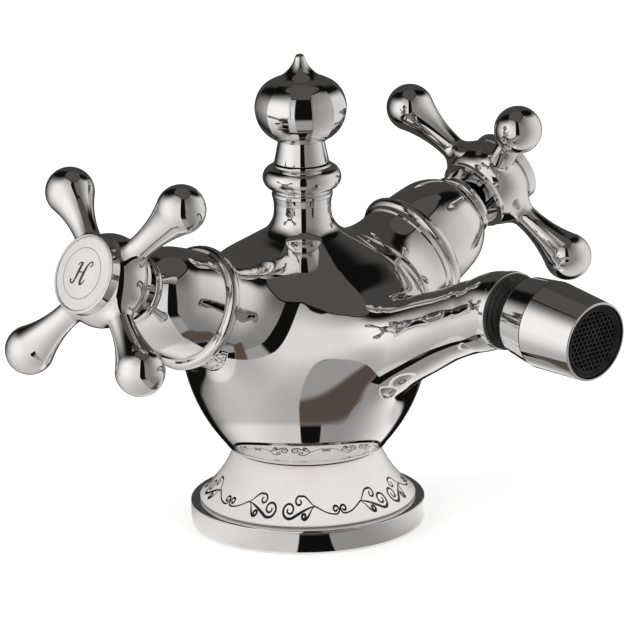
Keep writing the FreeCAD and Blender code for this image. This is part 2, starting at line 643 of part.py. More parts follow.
def dome(name, side):
    flange_top = end_face + d.dome_flange_height
    bead_top = flange_top + d.dome_bead_height
    waist = end_face + d.dome_waist_height
    inner_foot = d.dome_foot - d.dome_wall
    inner_top = dome_top - d.dome_wall
    turned(f"{name}_dome", [
        (inner_foot, end_face), (d.dome_flange, end_face), (d.dome_flange, flange_top, d.dome_bead_arc, 1),
        (d.dome_flange, bead_top), (d.dome_foot, bead_top, d.dome_bell_arc, 1),
        (d.dome_waist, waist, d.dome_shoulder_arc, 1), (d.dome_top, dome_top),
        (d.valve_neck + d.thread_gap, dome_top), (d.valve_neck + d.thread_gap, inner_top),
        (d.dome_top - d.dome_wall / 2, inner_top, d.dome_shoulder_arc - d.dome_wall, -1),
        (d.dome_waist - d.dome_wall, waist, d.dome_bell_arc - d.dome_wall, -1),
        (inner_foot, bead_top)], valve_frame(side))
    sleeve_top = nut_top + d.sleeve_height
    sleeve_bore = d.sleeve_radius - d.sleeve_wall
    turned(f"{name}_dome_nut", [
        (d.valve_neck, dome_top), (d.dome_nut_foot, dome_top, d.dome_nut_arc, 1), (d.dome_nut_foot, nut_top),
        (d.sleeve_radius, nut_top), (d.sleeve_radius, sleeve_top), (sleeve_bore, sleeve_top),
        (sleeve_bore, nut_step), (d.valve_neck, nut_step)], valve_frame(side))


def spindle(name, side):
    outline = [(0, moving_top), (d.moving_disc_radius, moving_top), (d.moving_disc_radius, drive_top),
               (d.spindle_radius, drive_top)]
    reach = d.spindle_seal_wire + d.thread_gap
    for middle in spindle_seals:
        outline += [(d.spindle_radius, middle - reach), (spindle_groove, middle - reach),
                    (spindle_groove, middle + reach), (d.spindle_radius, middle + reach)]
    spline_low = spindle_top - d.spline_length
    outline += [(d.spindle_radius, clip_low), (clip_inner, clip_low), (clip_inner, clip_high),
                (d.spindle_radius, clip_high), (d.spindle_radius, spline_low), (d.spline_radius, spline_low),
                (d.spline_radius, spindle_top), (d.screw_core, spindle_top), (d.screw_core, tap_low),
                (0, tap_low)]
    turned(f"{name}_spindle", outline, valve_frame(side))
    rings = []
    for index, middle in enumerate(spindle_seals):
        ring = doc.addObject("Part::Torus", f"{name}SpindleRing{index}")
        bind(ring, "Radius1", d.spindle_radius - d.spindle_seal_wire)
        bind(ring, "Radius2", d.spindle_seal_wire)
        place(ring, valve_frame(side, middle))
        rings.append(ring)
    pair = doc.addObject("Part::Compound", f"{name}_spindle_o_rings")
    pair.Links = rings
    pair.Label = f"{name}_spindle_o_rings"
    pieces.append(pair)
    turned(f"{name}_circlip", rectangle(clip_inner, d.clip_outer, clip_low, clip_high),
           valve_frame(side), d.clip_sweep)


def cross_handle(name, side):
    """Hub turned about the valve axis, with four club-shaped arms."""
    piece = new_body(f"{name}_handle", valve_frame(side))
    rear = end_face + d.hub_rear
    cup = rear + d.hub_cup_depth
    boss = rear + d.hub_boss_setback
    bore = d.spline_radius + d.thread_gap
    revolve(piece, "Hub", [
        (bore, boss), (d.hub_boss, boss), (d.hub_boss, cup), (d.hub_rim - d.hub_rim_wall, cup),
        (d.hub_rim - d.hub_rim_wall, rear), (d.hub_rim, rear),
        (d.hub_rim, rear + d.hub_rim_height, d.hub_bulge_arc, 1), (d.hub_face_radius, hub_face),
        (d.hub_socket, hub_face), (d.hub_socket, hub_floor), (d.screw_clearance, hub_floor),
        (d.screw_clearance, spindle_top), (bore, spindle_top)])
    plane = end_face + d.arm_plane
    phase = getattr(d, f"{name}_arm_phase")
    sketch = new_sketch(piece, "ArmProfile", "XZ_Plane", ((0, plane, 0), Y_AXIS, phase))
    span = d.arm_ball_place - d.arm_neck_place
    square = span * span + d.arm_neck * d.arm_neck - d.arm_ball * d.arm_ball
    sweep = square / (2 * (d.arm_ball - d.arm_neck))
    share = sweep / (sweep + d.arm_ball)
    root_run = d.arm_neck_place - d.arm_root
    root_step = d.arm_root_radius - d.arm_neck
    flare = (root_run * root_run + root_step * root_step) / (2 * root_step)
    draw(sketch, [
        (d.arm_root, 0), (d.arm_ball_place + d.arm_ball, 0, d.arm_ball, 1),
        (d.arm_neck_place + span * share, (d.arm_neck + sweep) * (1 - share), sweep, -1),
        (d.arm_neck_place, d.arm_neck, flare, -1), (d.arm_root, d.arm_root_radius)])
    arm = piece.newObject("PartDesign::Revolution", "Arm")
    arm.Profile = sketch
    arm.ReferenceAxis = (sketch, ["H_Axis"])
    arm.Angle = 360
    polar(piece, "Arms", arm, ARMS)


def handle_trim(name, side):
    head_top = hub_floor + d.screw_head_height
    screw = turned(f"{name}_handle_screw", [
        (0, tap_low), (d.screw_core, tap_low), (d.screw_core, hub_floor), (d.screw_head, hub_floor),
        (d.screw_head, head_top), (0, head_top)], valve_frame(side))
    primitive(screw, "SubtractiveBox", "Slot",
              ((-d.screw_head, -d.screw_slot / 2, head_top - d.screw_slot), Z_AXIS, 0),
              Length=2 * d.screw_head, Width=d.screw_slot, Height=d.screw_slot)
    skirt_low = hub_face - d.bezel_skirt
    bezel_top = hub_face + d.bezel_height
    floor = hub_face + d.bezel_floor
    pocket = d.index_radius + d.index_gap
    skirt = d.hub_socket - d.thread_gap
    turned(f"{name}_index_bezel", [
        (skirt - d.bezel_skirt_wall, skirt_low), (skirt, skirt_low), (skirt, hub_face),
        (d.bezel_radius - d.bezel_edge, hub_face, d.bezel_edge, 1),
        (d.bezel_radius, hub_face + d.bezel_edge),
        (d.bezel_radius, bezel_top - d.bezel_edge, d.bezel_edge, 1),
        (d.bezel_radius - d.bezel_edge, bezel_top),
        (pocket, bezel_top), (pocket, floor), (skirt - d.bezel_skirt_wall, floor)], valve_frame(side))
    crown = (d.index_radius * d.index_radius + d.index_crown * d.index_crown) / (2 * d.index_crown)
    edge_top = floor + d.index_edge_height
    turned(f"{name}_index_disc", [
        (0, floor), (d.index_radius, floor), (d.index_radius, edge_top, crown, 1),
        (0, edge_top + d.index_crown)], valve_frame(side))


for name, side in SIDES.items():
    valve_body(name, side)
    ported_disc(f"{name}_fixed_disc", side, d.disc_radius, seal_top, False)
    ported_disc(f"{name}_moving_disc", side, d.moving_disc_radius, moving_low, True)
    seat_seal = rectangle(d.port_radius, d.port_radius + d.seat_seal_width, valve_floor, seal_top)
    turned(f"{name}_seat_seal", seat_seal, valve_frame(side))
    o_ring(f"{name}_valve_o_ring", d.valve_bore - d.valve_seal_wire, d.valve_seal_wire,
           valve_frame(side, seal_middle))
    dome(name, side)
    spindle(name, side)
    cross_handle(name, side)
    handle_trim(name, side)

# Ball nipple of the spout and the nozzle that swivels on it, heights from the ball's centre

flange_face = d.nipple_flange_width - d.collar_setback
liner_inner = d.ball_radius + d.running_gap
liner_outer = liner_inner + d.liner_wall
socket_inner = liner_outer + 2 * d.running_gap
seam_rear = d.seam_place - d.seam_width / 2
seam_front = d.seam_place + d.seam_width / 2

turned("ball_nipple", [
    (d.nipple_bore, -nipple_rear), (d.nipple_thread, -nipple_rear), (d.nipple_thread, -d.collar_setback),
    (d.nipple_flange, -d.collar_setback), (d.nipple_flange, flange_face), (d.nipple_neck, flange_face),
    (d.nipple_neck, -half_chord(d.ball_radius, d.nipple_neck), d.ball_radius, 1),
    (d.nipple_bore, half_chord(d.ball_radius, d.nipple_bore))], spout_end_frame())
o_ring("nipple_o_ring", d.nipple_seal_radius, d.nipple_seal_wire,
       spout_end_frame(-d.collar_setback - d.nipple_seal_wire))
turned("swivel_liner", [
    (liner_inner * sine(d.liner_rear), liner_inner * cosine(d.liner_rear)),
    (liner_outer * sine(d.liner_rear), liner_outer * cosine(d.liner_rear), liner_outer, 1),
    (liner_outer * sine(d.liner_front), liner_outer * cosine(d.liner_front)),
    (liner_inner * sine(d.liner_front), liner_inner * cosine(d.liner_front), liner_inner, -1)],
    nozzle_frame())

socket_lip = half_chord(socket_inner, d.socket_rear)
socket_bore = half_chord(socket_inner, d.socket_mouth)
seat_outer = socket_bore - d.seat_gap
seat_low = liner_inner * cosine(d.seat_rear)
seat_high = liner_inner * cosine(d.seat_front)
web_low = seat_high + d.running_gap
web_high = web_low + d.web_width
turned("seat_washer", [
    (liner_inner * sine(d.seat_rear), seat_low), (seat_outer, seat_low), (seat_outer, seat_high),
    (liner_inner * sine(d.seat_front), seat_high, liner_inner, -1)], nozzle_frame())
turned("socket_nut", [
    (socket_lip, -d.socket_rear), (d.socket_rear_radius - d.socket_edge, -d.socket_rear, d.socket_edge, 1),
    (d.socket_rear_radius, d.socket_edge - d.socket_rear), (d.seam_radius, seam_rear),
    (d.socket_thread, seam_rear), (d.socket_thread, d.socket_reach), (socket_bore, d.socket_reach),
    (socket_bore, d.socket_mouth, socket_inner, -1)], nozzle_frame())
turned("nozzle_housing", [
    (d.socket_thread, seam_front), (d.seam_radius, seam_front),
    (d.mouth_radius, d.nozzle_length - d.mouth_edge, d.mouth_edge, 1),
    (d.mouth_radius - d.mouth_edge, d.nozzle_length), (d.mouth_bore, d.nozzle_length),
    (d.mouth_bore, web_high), (d.web_bore, web_high), (d.web_bore, web_low), (d.socket_thread, web_low)],
    nozzle_frame())

insert_radius = d.mouth_bore - d.thread_gap
seal_high = web_high + d.seal_height
screen_high = seal_high + d.screen_height
insert_high = screen_high + d.insert_height
turned("aerator_seal", rectangle(d.seal_bore, insert_radius, web_high, seal_high), nozzle_frame())

SCREEN_HOLES = 12
screen = new_body("flow_screen", nozzle_frame())
plate_low = seal_high + d.screen_plate
plate_high = plate_low + d.screen_plate
rim = insert_radius - d.screen_rim
revolve(screen, "Plate", [
    (0, plate_low), (rim, plate_low), (rim, seal_high), (insert_radius, seal_high),
    (insert_radius, screen_high), (rim, screen_high), (rim, plate_high), (0, plate_high)])
hole_frame = ((d.screen_circle, 0, plate_low), Z_AXIS, 0)
hole = drill(screen, "ScreenHole", hole_frame, d.screen_hole, d.screen_plate)
doc.recompute()
polar(screen, "ScreenHoles", hole, SCREEN_HOLES)


def honeycomb(label):
    """Stepped ring filled with a hexagonal grid of open cells."""
    rim_radius = insert_radius.value - d.insert_rim.value
    low, high = screen_high.value, insert_high.value
    core = high - d.insert_step.value
    shell = Part.makeCylinder(insert_radius.value, high - low, FreeCAD.Vector(0, 0, low))
    shell = shell.cut(Part.makeCylinder(rim_radius, high - core, FreeCAD.Vector(0, 0, core)))
    pitch = d.cell_width.value + d.cell_wall.value
    corner = d.cell_width.value / math.sqrt(3)
    reach = rim_radius - corner - d.cell_wall.value
    count = int(reach / pitch) + 1
    cells = []
    for row in range(-count, count + 1):
        for column in range(-2 * count, 2 * count + 1):
            x = (column + row / 2) * pitch
            y = row * pitch * math.sqrt(3) / 2
            if math.hypot(x, y) <= reach:
                turns = [math.radians(60 * index + 30) for index in range(HEX_SIDES + 1)]
                ring = [FreeCAD.Vector(x + corner * math.cos(turn), y + corner * math.sin(turn), low)
                        for turn in turns]
                cells.append(Part.Face(Part.makePolygon(ring)).extrude(FreeCAD.Vector(0, 0, core - low)))
    insert = doc.addObject("Part::Feature", label)
    insert.Label = label
    insert.Shape = shell.cut(Part.makeCompound(cells))
    place(insert, nozzle_frame())
    pieces.append(insert)


honeycomb("aerator_insert")

# Every object has to be sound before any file is written

doc.recompute()
faults = [item.Label for item in doc.Objects if "Invalid" in item.State or "Error" in item.State]
faults += [piece.Label for piece in pieces if piece.Shape.isNull() or not piece.Shape.isValid()]
if faults:
    raise RuntimeError("unsound objects: " + ", ".join(faults))
os.makedirs("parts", exist_ok=True)
for piece in pieces:
    piece.Shape.exportStep(f"parts/{piece.Label}.step")
    print(f"{piece.Label}: {piece.Shape.Volume / 1000:.2f} cm3, {len(piece.Shape.Solids)} solid")
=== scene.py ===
import math
import bmesh
import bpy
import numpy as np
from mathutils import Matrix, Vector


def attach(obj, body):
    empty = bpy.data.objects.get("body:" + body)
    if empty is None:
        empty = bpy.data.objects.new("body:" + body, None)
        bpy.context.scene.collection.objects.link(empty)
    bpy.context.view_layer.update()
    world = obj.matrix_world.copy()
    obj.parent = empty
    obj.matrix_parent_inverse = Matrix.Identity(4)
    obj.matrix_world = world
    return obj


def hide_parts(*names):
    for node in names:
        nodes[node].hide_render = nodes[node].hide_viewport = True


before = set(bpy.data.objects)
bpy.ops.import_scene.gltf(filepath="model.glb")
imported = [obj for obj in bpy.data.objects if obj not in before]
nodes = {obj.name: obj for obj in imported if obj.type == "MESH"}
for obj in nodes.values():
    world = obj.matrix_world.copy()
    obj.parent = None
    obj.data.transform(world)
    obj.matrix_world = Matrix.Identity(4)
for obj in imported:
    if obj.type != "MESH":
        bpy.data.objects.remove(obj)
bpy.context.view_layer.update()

mm = 0.001
cos, sin, pi = np.cos, np.sin, np.pi
weld = {"doubles": 1e-7, "slivers": 1e-8}  # metres


def ringAngles(count):
    # even steps round a full turn
    return 2 * pi * np.arange(count) / count


def unit(rows):
    # vectors divided by their lengths
    return rows / np.linalg.norm(rows, axis=-1, keepdims=True)


def profile(corners, step=4.0, fewest=6):
    # corners are (radius, height), or (radius, height, arc, turn) where an arc of that radius runs to the
    # next corner, turning left for +1 and right for -1; arcs are cut every few degrees, runs near their ends
    runCuts = np.array([0, 0.04, 0.5, 0.96])[:, None]
    line = []
    for start, end in zip(corners[:-1], corners[1:]):
        p, q = np.array(start[:2], float), np.array(end[:2], float)
        if len(start) == 2:
            line.append(p + runCuts * (q - p))
            continue
        arc, turn = start[2:]
        half = np.linalg.norm(q - p) / 2
        left = np.array([p[1] - q[1], q[0] - p[0]]) / (2 * half)
        middle = (p + q) / 2 + turn * left * math.sqrt(max(arc * arc - half * half, 0.0))
        first = math.atan2(*(p - middle)[::-1])
        sweep = turn * 2 * math.asin(min(half / arc, 1.0))
        count = max(int(math.degrees(abs(sweep)) / step), fewest)
        angle = first + sweep * np.arange(count) / count
        line.append(middle + arc * np.stack([cos(angle), sin(angle)], 1))
    line.append(np.array([corners[-1][:2]], float))
    return np.concatenate(line)


def axes(out, side):
    # three unit vectors: out is the third, side is made square to it for the first
    out, side = unit(np.array(out, float)), np.array(side, float)
    side = unit(side - out * np.dot(out, side))
    return side, np.cross(out, side), out


upright = ((0, 0, 0), axes((0, 0, 1), (1, 0, 0)))


def turned(line, place=upright, around=160):
    # a profile of (radius, height) spun about an axis: origin + r cos(v) first + r sin(v) second + h third
    origin, (first, second, third) = place
    v = ringAngles(around)
    r, h = line[:, 0][:, None] + 0 * v, line[:, 1][:, None] + 0 * v
    return (np.array(origin) + (r * cos(v))[..., None] * first + (r * sin(v))[..., None] * second
            + h[..., None] * third)


def gridFaces(rows, columns, first=0, closed=True):
    # quads between neighbouring rows; where closed, the last column is joined to the first
    u, v = np.meshgrid(np.arange(rows - 1), np.arange(columns if closed else columns - 1), indexing="ij")
    w = (v + 1) % columns
    quads = np.stack([u * columns + v, u * columns + w, (u + 1) * columns + w, (u + 1) * columns + v], -1)
    return first + quads.reshape(-1, 4)


def piece(name, grids, body, material, stands=(), crease=28, openGrid=False):
    # puts grids of points into one mesh; doubles at poles and seams merge, faces turn outwards
    verts, faces, first = [], [], 0
    for grid in grids:
        rows, columns = grid.shape[:2]
        verts.append(grid.reshape(-1, 3))
        faces.append(gridFaces(rows, columns, first, not openGrid))
        first += rows * columns
    mesh = bpy.data.meshes.new(name)
    mesh.from_pydata((np.concatenate(verts) * mm).tolist(), [], np.concatenate(faces).tolist())
    work = bmesh.new()
    work.from_mesh(mesh)
    bmesh.ops.remove_doubles(work, verts=work.verts, dist=weld["doubles"])
    bmesh.ops.dissolve_degenerate(work, edges=work.edges, dist=weld["slivers"])
    if not openGrid:
        bmesh.ops.recalc_face_normals(work, faces=work.faces)
    work.to_mesh(mesh)
    work.free()
    mesh.polygons.foreach_set("use_smooth", [True] * len(mesh.polygons))
    mesh.set_sharp_from_angle(angle=math.radians(crease))
    mesh.materials.append(material)
    made = bpy.data.objects.new(name, mesh)
    bpy.context.collection.objects.link(made)
    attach(made, body)
    if stands:
        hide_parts(*stands)


def crossing(points, inside):
    # along each column, the place (a row number with a fraction) where the column last leaves the carrier
    depth = inside(points)
    last = points.shape[0] - 2 - np.argmax((depth[:-1] < 0)[::-1], axis=0)
    column = np.arange(points.shape[1])
    a, b = depth[last, column], depth[last + 1, column]
    return last + np.clip(a / (a - b), 0, 1)


def pick(points, row):
    # points of each column at a fractional row
    low = np.clip(row.astype(int), 0, points.shape[0] - 2)
    share = (row - low)[:, None]
    column = np.arange(points.shape[1])
    return points[low, column] * (1 - share) + points[low + 1, column] * share


def cubic(t, start, end, leave, arrive):
    # the cubic from start to end that sets out along one vector and comes in along another
    return ((2 * t**3 - 3 * t**2 + 1) * start + (t**3 - 2 * t**2 + t) * leave
            + (3 * t**2 - 2 * t**3) * end + (t**3 - t**2) * arrive)


def capped(grid):
    # closes a grid's last ring by drawing it in to its middle
    return np.concatenate([grid, grid[-1:] * 0 + grid[-1].mean(axis=0)])


def rounded(a, b, k):
    # the lesser of two distances, eased by a parabola where they differ by less than k
    ease = np.maximum(k - np.abs(a - b), 0) / k
    return np.minimum(a, b) - ease * ease * k / 4


def settled(points, skin, turns=10, step=0.02):
    # moves points down the skin's own slope until its distance is nought
    for turn in range(turns):
        slope = np.stack([skin(points + step * way) - skin(points - step * way) for way in np.eye(3)], -1)
        slope /= 2 * step
        points = points - (skin(points) / (slope**2).sum(-1))[..., None] * slope
    return points


growth = {"near": 0.97, "pull": 1.1, "shrink": 0.1, "sink": 2.0}  # how a limb leaves its carrier


def limb(tube, inside, fillet, rows=26, skin=None):
    # a tube that grows out of a carrier: the carrier's surface is left along its own tangent and the tube
    # is met along the tube's, by a cubic between them; tube(extra) gives its points with a wider section,
    # the fillet is one width or a width for each column, and with a skin the cubic only starts the search
    plain, wide, near = tube(fillet * 0.0), tube(fillet), tube(fillet * growth["near"])
    root = pick(wide, crossing(wide, inside))
    leave = unit(pick(near, crossing(near, inside)) - root)
    if skin:
        join = crossing(plain, lambda p: inside(p) - fillet)
    else:
        join = crossing(plain, inside) + fillet / np.linalg.norm(plain[1:] - plain[:-1], axis=2).mean()
    meet = pick(plain, join)
    run = unit(pick(plain, join + 1) - meet)
    span = growth["pull"] * np.linalg.norm(meet - root, axis=1)[:, None]
    t = (0.5 - 0.5 * cos(pi * np.linspace(0, 1, rows)))[:, None, None]
    bend = cubic(t, root, meet, span * leave, span * run)
    if skin:
        bend = settled(bend, skin)
    last = plain.shape[0] - 1.001  # a hair short of the last row
    rest = join + np.linspace(0, 1, plain.shape[0])[1:, None] * (last - join)
    rest = np.stack([pick(plain, row) for row in rest])
    inward = unit((root - meet).mean(axis=0))
    hidden = root + (root.mean(axis=0) - root) * growth["shrink"] + growth["sink"] * inward
    pole = np.repeat(hidden.mean(axis=0)[None], root.shape[0], axis=0)
    return np.concatenate([pole[None], hidden[None], bend, rest])


class Wire:
    # a socket that takes part in expressions
    def __init__(self, tree, socket=None):
        self.tree, self.socket = tree, socket

    def feed(self, node, key, value):
        # links a wire to a node's input, or sets the input's own value
        if isinstance(value, Wire):
            self.tree.links.new(value.socket, node.inputs[key])
        else:
            node.inputs[key].default_value = value

    def node(self, kind, settings=None, sockets=None, out=0):
        made = self.tree.nodes.new("ShaderNode" + kind)
        for key, value in (settings or {}).items():
            setattr(made, key, value)
        for key, value in (sockets or {}).items():
            self.feed(made, key, value)
        return Wire(self.tree, made.outputs[out] if len(made.outputs) else None)

    def math(self, operation, *values):
        return self.node("Math", {"operation": operation}, dict(enumerate(values)))

    def __add__(self, other): return self.math("ADD", self, other)
    def __radd__(self, other): return self.math("ADD", other, self)
    def __sub__(self, other): return self.math("SUBTRACT", self, other)
    def __rsub__(self, other): return self.math("SUBTRACT", other, self)
    def __mul__(self, other): return self.math("MULTIPLY", self, other)
    def __rmul__(self, other): return self.math("MULTIPLY", other, self)
    def __abs__(self): return self.math("ABSOLUTE", self)

    def ramp(self, low, high):
        # a smooth step from 0 at low to 1 at high
        return self.node("MapRange", {"interpolation_type": "SMOOTHSTEP"},
                         {"Value": self, "From Min": low, "From Max": high})

    def tint(self, dark, light):
        return self.node("Mix", {"data_type": "RGBA"}, {0: self, 6: dark, 7: light}, out=2)

    def noise(self, place, scale, detail=4.0, rough=0.55):
        return self.node("TexNoise", None,
                         {"Vector": place, "Scale": scale, "Detail": detail, "Roughness": rough})


clouds = {"tone": (0.3, 0.7), "gloss": (0.42, 0.75), "grainDetail": 3.0}


def finish(name, dark, light, rough, vary, scale, metal=0.0, bump=0.0, grain=900.0, depth=0.0001, sheen=0.5):
    # two close tones and a roughness that wander with a noise of that scale, and a fine bump
    material = bpy.data.materials.new(name)
    material.use_nodes = True
    shader = material.node_tree.nodes["Principled BSDF"]
    wire = Wire(material.node_tree)
    place = wire.node("TexCoord", out=3)
    cloud = wire.noise(place, scale)
    wire.feed(shader, "Base Color", cloud.ramp(*clouds["tone"]).tint((*dark, 1), (*light, 1)))
    wire.feed(shader, "Roughness", rough + vary * cloud.ramp(*clouds["gloss"]))
    wire.feed(shader, "Metallic", metal)
    wire.feed(shader, "Specular IOR Level", sheen)
    if bump:
        fine = wire.noise(place, grain, clouds["grainDetail"])
        raised = wire.node("Bump", None, {"Strength": bump, "Distance": depth, "Height": fine})
        wire.feed(shader, "Normal", raised)
    return material


chrome = finish("polished chrome", (0.74, 0.735, 0.73), (0.80, 0.795, 0.79), 0.02, 0.035, 45.0, metal=1.0,
                bump=0.02, grain=70.0, depth=0.0004)
porcelain = finish("glazed porcelain", (0.77, 0.735, 0.715), (0.81, 0.775, 0.755), 0.06, 0.06, 60.0,
                   bump=0.03, grain=160.0, depth=0.0003)
enamel = finish("index enamel", (0.63, 0.612, 0.605), (0.68, 0.662, 0.655), 0.12, 0.06, 90.0,
                bump=0.02, grain=300.0)
rubber = finish("black rubber", (0.012, 0.012, 0.012), (0.03, 0.03, 0.03), 0.6, 0.2, 200.0, bump=0.2)
moulding = finish("black moulding", (0.008, 0.008, 0.009), (0.02, 0.02, 0.021), 0.32, 0.2, 300.0,
                  bump=0.08, sheen=0.15)
blackFigure = finish("black glaze figure", (0.006, 0.006, 0.007), (0.016, 0.015, 0.015), 0.16, 0.1, 400.0)
greyFigure = finish("grey glaze line", (0.24, 0.23, 0.23), (0.33, 0.32, 0.32), 0.18, 0.1, 500.0)
darkFigure = finish("dark glaze letter", (0.02, 0.016, 0.018), (0.05, 0.045, 0.045), 0.18, 0.1, 500.0)
looks = {  # by the material names that model.glb's parts carry
    "chromed_brass": chrome,
    "porcelain": porcelain,
    "index_enamel": enamel,
    "black_rubber": rubber,
    "black_plastic": moulding,
    "bare_brass": finish("turned brass", (0.60, 0.40, 0.15), (0.74, 0.53, 0.24), 0.22, 0.16, 120.0,
                         metal=1.0, bump=0.1),
    "valve_ceramic": finish("fired alumina", (0.72, 0.70, 0.66), (0.80, 0.79, 0.76), 0.35, 0.1, 200.0,
                            bump=0.05),
    "bearing_plastic": finish("white acetal", (0.62, 0.62, 0.60), (0.72, 0.72, 0.70), 0.4, 0.15, 150.0,
                              bump=0.05),
    "steel": finish("drawn steel", (0.50, 0.50, 0.50), (0.62, 0.62, 0.61), 0.24, 0.14, 160.0,
                    metal=1.0, bump=0.08),
}
for name, node in nodes.items():
    slotName = node.material_slots[0].material.name.split(".")[0] if node.material_slots else ""
    node.data.materials.clear()
    node.data.materials.append(looks.get(slotName, chrome))
print("materials done")


base = {"radius": 34.5, "bore": 22.0, "height": 7.3, "edge": 0.6}
b = base
piece("ringTurned", [turned(profile([
    (b["bore"], 0), (b["radius"] - b["edge"], 0, b["edge"], 1), (b["radius"], b["edge"]),
    (b["radius"], b["height"] - b["edge"], b["edge"], 1), (b["radius"] - b["edge"], b["height"]),
    (b["bore"], b["height"]), (b["bore"], 0)]), around=256)], "fixed", chrome, ["base_ring"])

bell = {"foot": 31.8, "top": 21.6, "low": 7.3, "high": 22.9, "cove": 34.0, "edge": 0.8, "bore": 17.5}
b = bell
bellLine = profile([(b["foot"], b["low"] + b["edge"], b["cove"], -1), (b["top"], b["high"])], 0.5)
piece("porcelainBell", [turned(np.concatenate([
    profile([(b["bore"], b["low"]), (b["foot"] - b["edge"], b["low"], b["edge"], 1),
             (b["foot"], b["low"] + b["edge"])])[:-1], bellLine,
    profile([(b["top"], b["high"]), (b["bore"], b["high"]), (b["bore"], b["low"])])[1:]]), around=256)],
    "fixed", porcelain, ["porcelain_base"])
print("base done")


scroll = {"repeats": 5, "middle": 11.6, "lift": 0.06, "width": 0.58, "phase": -149.38}


def spiral(x, y, size, start, turns, hand, core=0.18, fall=0.9):
    # a scroll round (x, y): the angle runs on from start while the radius falls to a small core
    t = np.linspace(0, 1, 64)
    angle = math.radians(start) + hand * 2 * pi * turns * t
    r = size * (core + (1 - core) * (1 - t)**fall)
    return np.stack([x + r * cos(angle), y + r * sin(angle)], 1)


def bow(*points):
    # a smooth line led by control points: the Bezier curve of that degree
    points = np.array(points, float)
    degree = len(points) - 1
    t = np.linspace(0, 1, 40)
    return sum(math.comb(degree, k) * (t**k * (1 - t)**(degree - k))[:, None] * points[k]
               for k in range(degree + 1))


def stroke(*lines, swell):
    # lines end to end as one stroke, with its width along it
    line = np.concatenate([lines[0]] + [more[1:] for more in lines[1:]])
    return line, np.interp(np.linspace(0, 1, len(line)), np.linspace(0, 1, len(swell)), swell)


def ribbon(line, width, lay, edgeLift=0.3):
    # a flat strip along a line, three points wide, its middle a little proud; lay puts (x, y, lift) in space
    run = np.gradient(line, axis=0)
    edge = unit(np.stack([-run[:, 1], run[:, 0]], 1)) * width[:, None] / 2
    rows = [(line + edge, edgeLift), (line, 1.0), (line - edge, edgeLift)]
    return np.stack([lay(row[:, 0], row[:, 1], lift) for row, lift in rows], 1)


def onBell(turnBy):
    # lays a flat drawing round the porcelain: x is the arc at the figure's height, y the height
    at = np.interp(scroll["middle"], bellLine[:, 1], bellLine[:, 0])
    slope = np.gradient(bellLine[:, 0], bellLine[:, 1])

    def lay(x, y, lift):
        height = scroll["middle"] + y
        lean = np.interp(height, bellLine[:, 1], slope)
        out = scroll["lift"] * lift / np.sqrt(1 + lean**2)
        r = np.interp(height, bellLine[:, 1], bellLine[:, 0]) + out
        angle = turnBy + x / at
        return np.stack([r * cos(angle), r * sin(angle), height - out * lean], 1)
    return lay


def figure():
    # the right half of one repeat, then its mirror: from a fork, a stem swells into the large scroll, an arch
    # rises to a curl, a drop hangs below, and a thin tail runs out to the small end scroll
    fork = (10.4, 0.9)
    half = [
        stroke(bow(fork, (8.6, 0.7), (6.6, -0.3), (4.28, -1.65)), spiral(2.9, 0, 2.15, -50, 1.45, -1),
               swell=(0.35, 0.9, 1.3, 1.1, 1.0, 0.9, 0.75)),
        stroke(bow(fork, (9.3, 1.5), (8.3, 3.0), (7.3, 3.7), (6.4, 3.4)),
               spiral(5.75, 2.1, 1.45, 62, 1.05, 1), swell=(0.45, 0.85, 1.0, 0.9, 0.7)),
        stroke(bow((10.2, 0.75), (9.0, 0.1), (8.9, -1.2), (8.15, -1.7)), spiral(7.3, -1.4, 0.9, -20, 1.2, -1),
               swell=(0.35, 0.8, 1.1, 1.1, 0.9)),
        stroke(bow(fork, (11.8, 0.5), (13.6, -1.2), (16.4, -1.25)), spiral(16.5, -0.1, 1.15, -95, 1.3, 1),
               swell=(0.75, 0.55, 0.7, 1.0, 0.9, 0.8))]
    return half + [(line * (-1, 1), width) for line, width in half]


drawn = figure()
strips = []
for repeat in range(scroll["repeats"]):
    lay = onBell(math.radians(scroll["phase"]) + 2 * pi * repeat / scroll["repeats"])
    strips += [ribbon(line, scroll["width"] * width, lay) for line, width in drawn]
piece("porcelainScrolls", strips, "fixed", blackFigure, openGrid=True)
print("scrolls done")


collar = {"foot": 8.9, "low": 98.9, "edge": 0.3, "band": 0.9, "coveIn": 0.4, "coveAt": 1.2, "cove": 0.7,
          "ringFoot": 9.5, "ringLow": 101.3, "arc": 3.56, "ringHigh": 107.7, "upperCove": 0.9,
          "top": 8.4, "high": 108.7, "bevel": 0.1, "bore": 3.2}
b = collar
piece("collarTurned", [turned(profile([
    (b["bore"], b["low"]), (b["foot"] - b["edge"], b["low"], b["edge"], 1), (b["foot"], b["low"] + b["edge"]),
    (b["foot"], b["low"] + b["band"], b["edge"], 1),
    (b["foot"] - b["coveIn"], b["low"] + b["coveAt"], b["cove"], -1),
    (b["ringFoot"], b["ringLow"], b["arc"], 1), (b["ringFoot"], b["ringHigh"], b["upperCove"], -1),
    (b["top"], b["high"] - b["bevel"]), (b["top"] - b["bevel"], b["high"]), (b["bore"], b["high"]),
    (b["bore"], b["low"])]), around=192)], "fixed", chrome, ["top_collar"])

knob = {"low": 115.5, "foot": 7.0, "belly": 13.7, "bellyAt": 10.0, "lowerArc": 11.2, "upperArc": 9.6,
        "shoulder": 6.6, "shoulderAt": 18.5, "sweep": 10.0, "nib": 1.5, "nibAt": 24.3, "height": 25.6,
        "gores": 12, "depth": 0.019, "ridge": 0.06, "rib": 0.003, "ribWidth": 0.1, "face": -132.38,
        "fadeFoot": 1.5, "fadeTop": 4.0, "fadePast": 0.3}


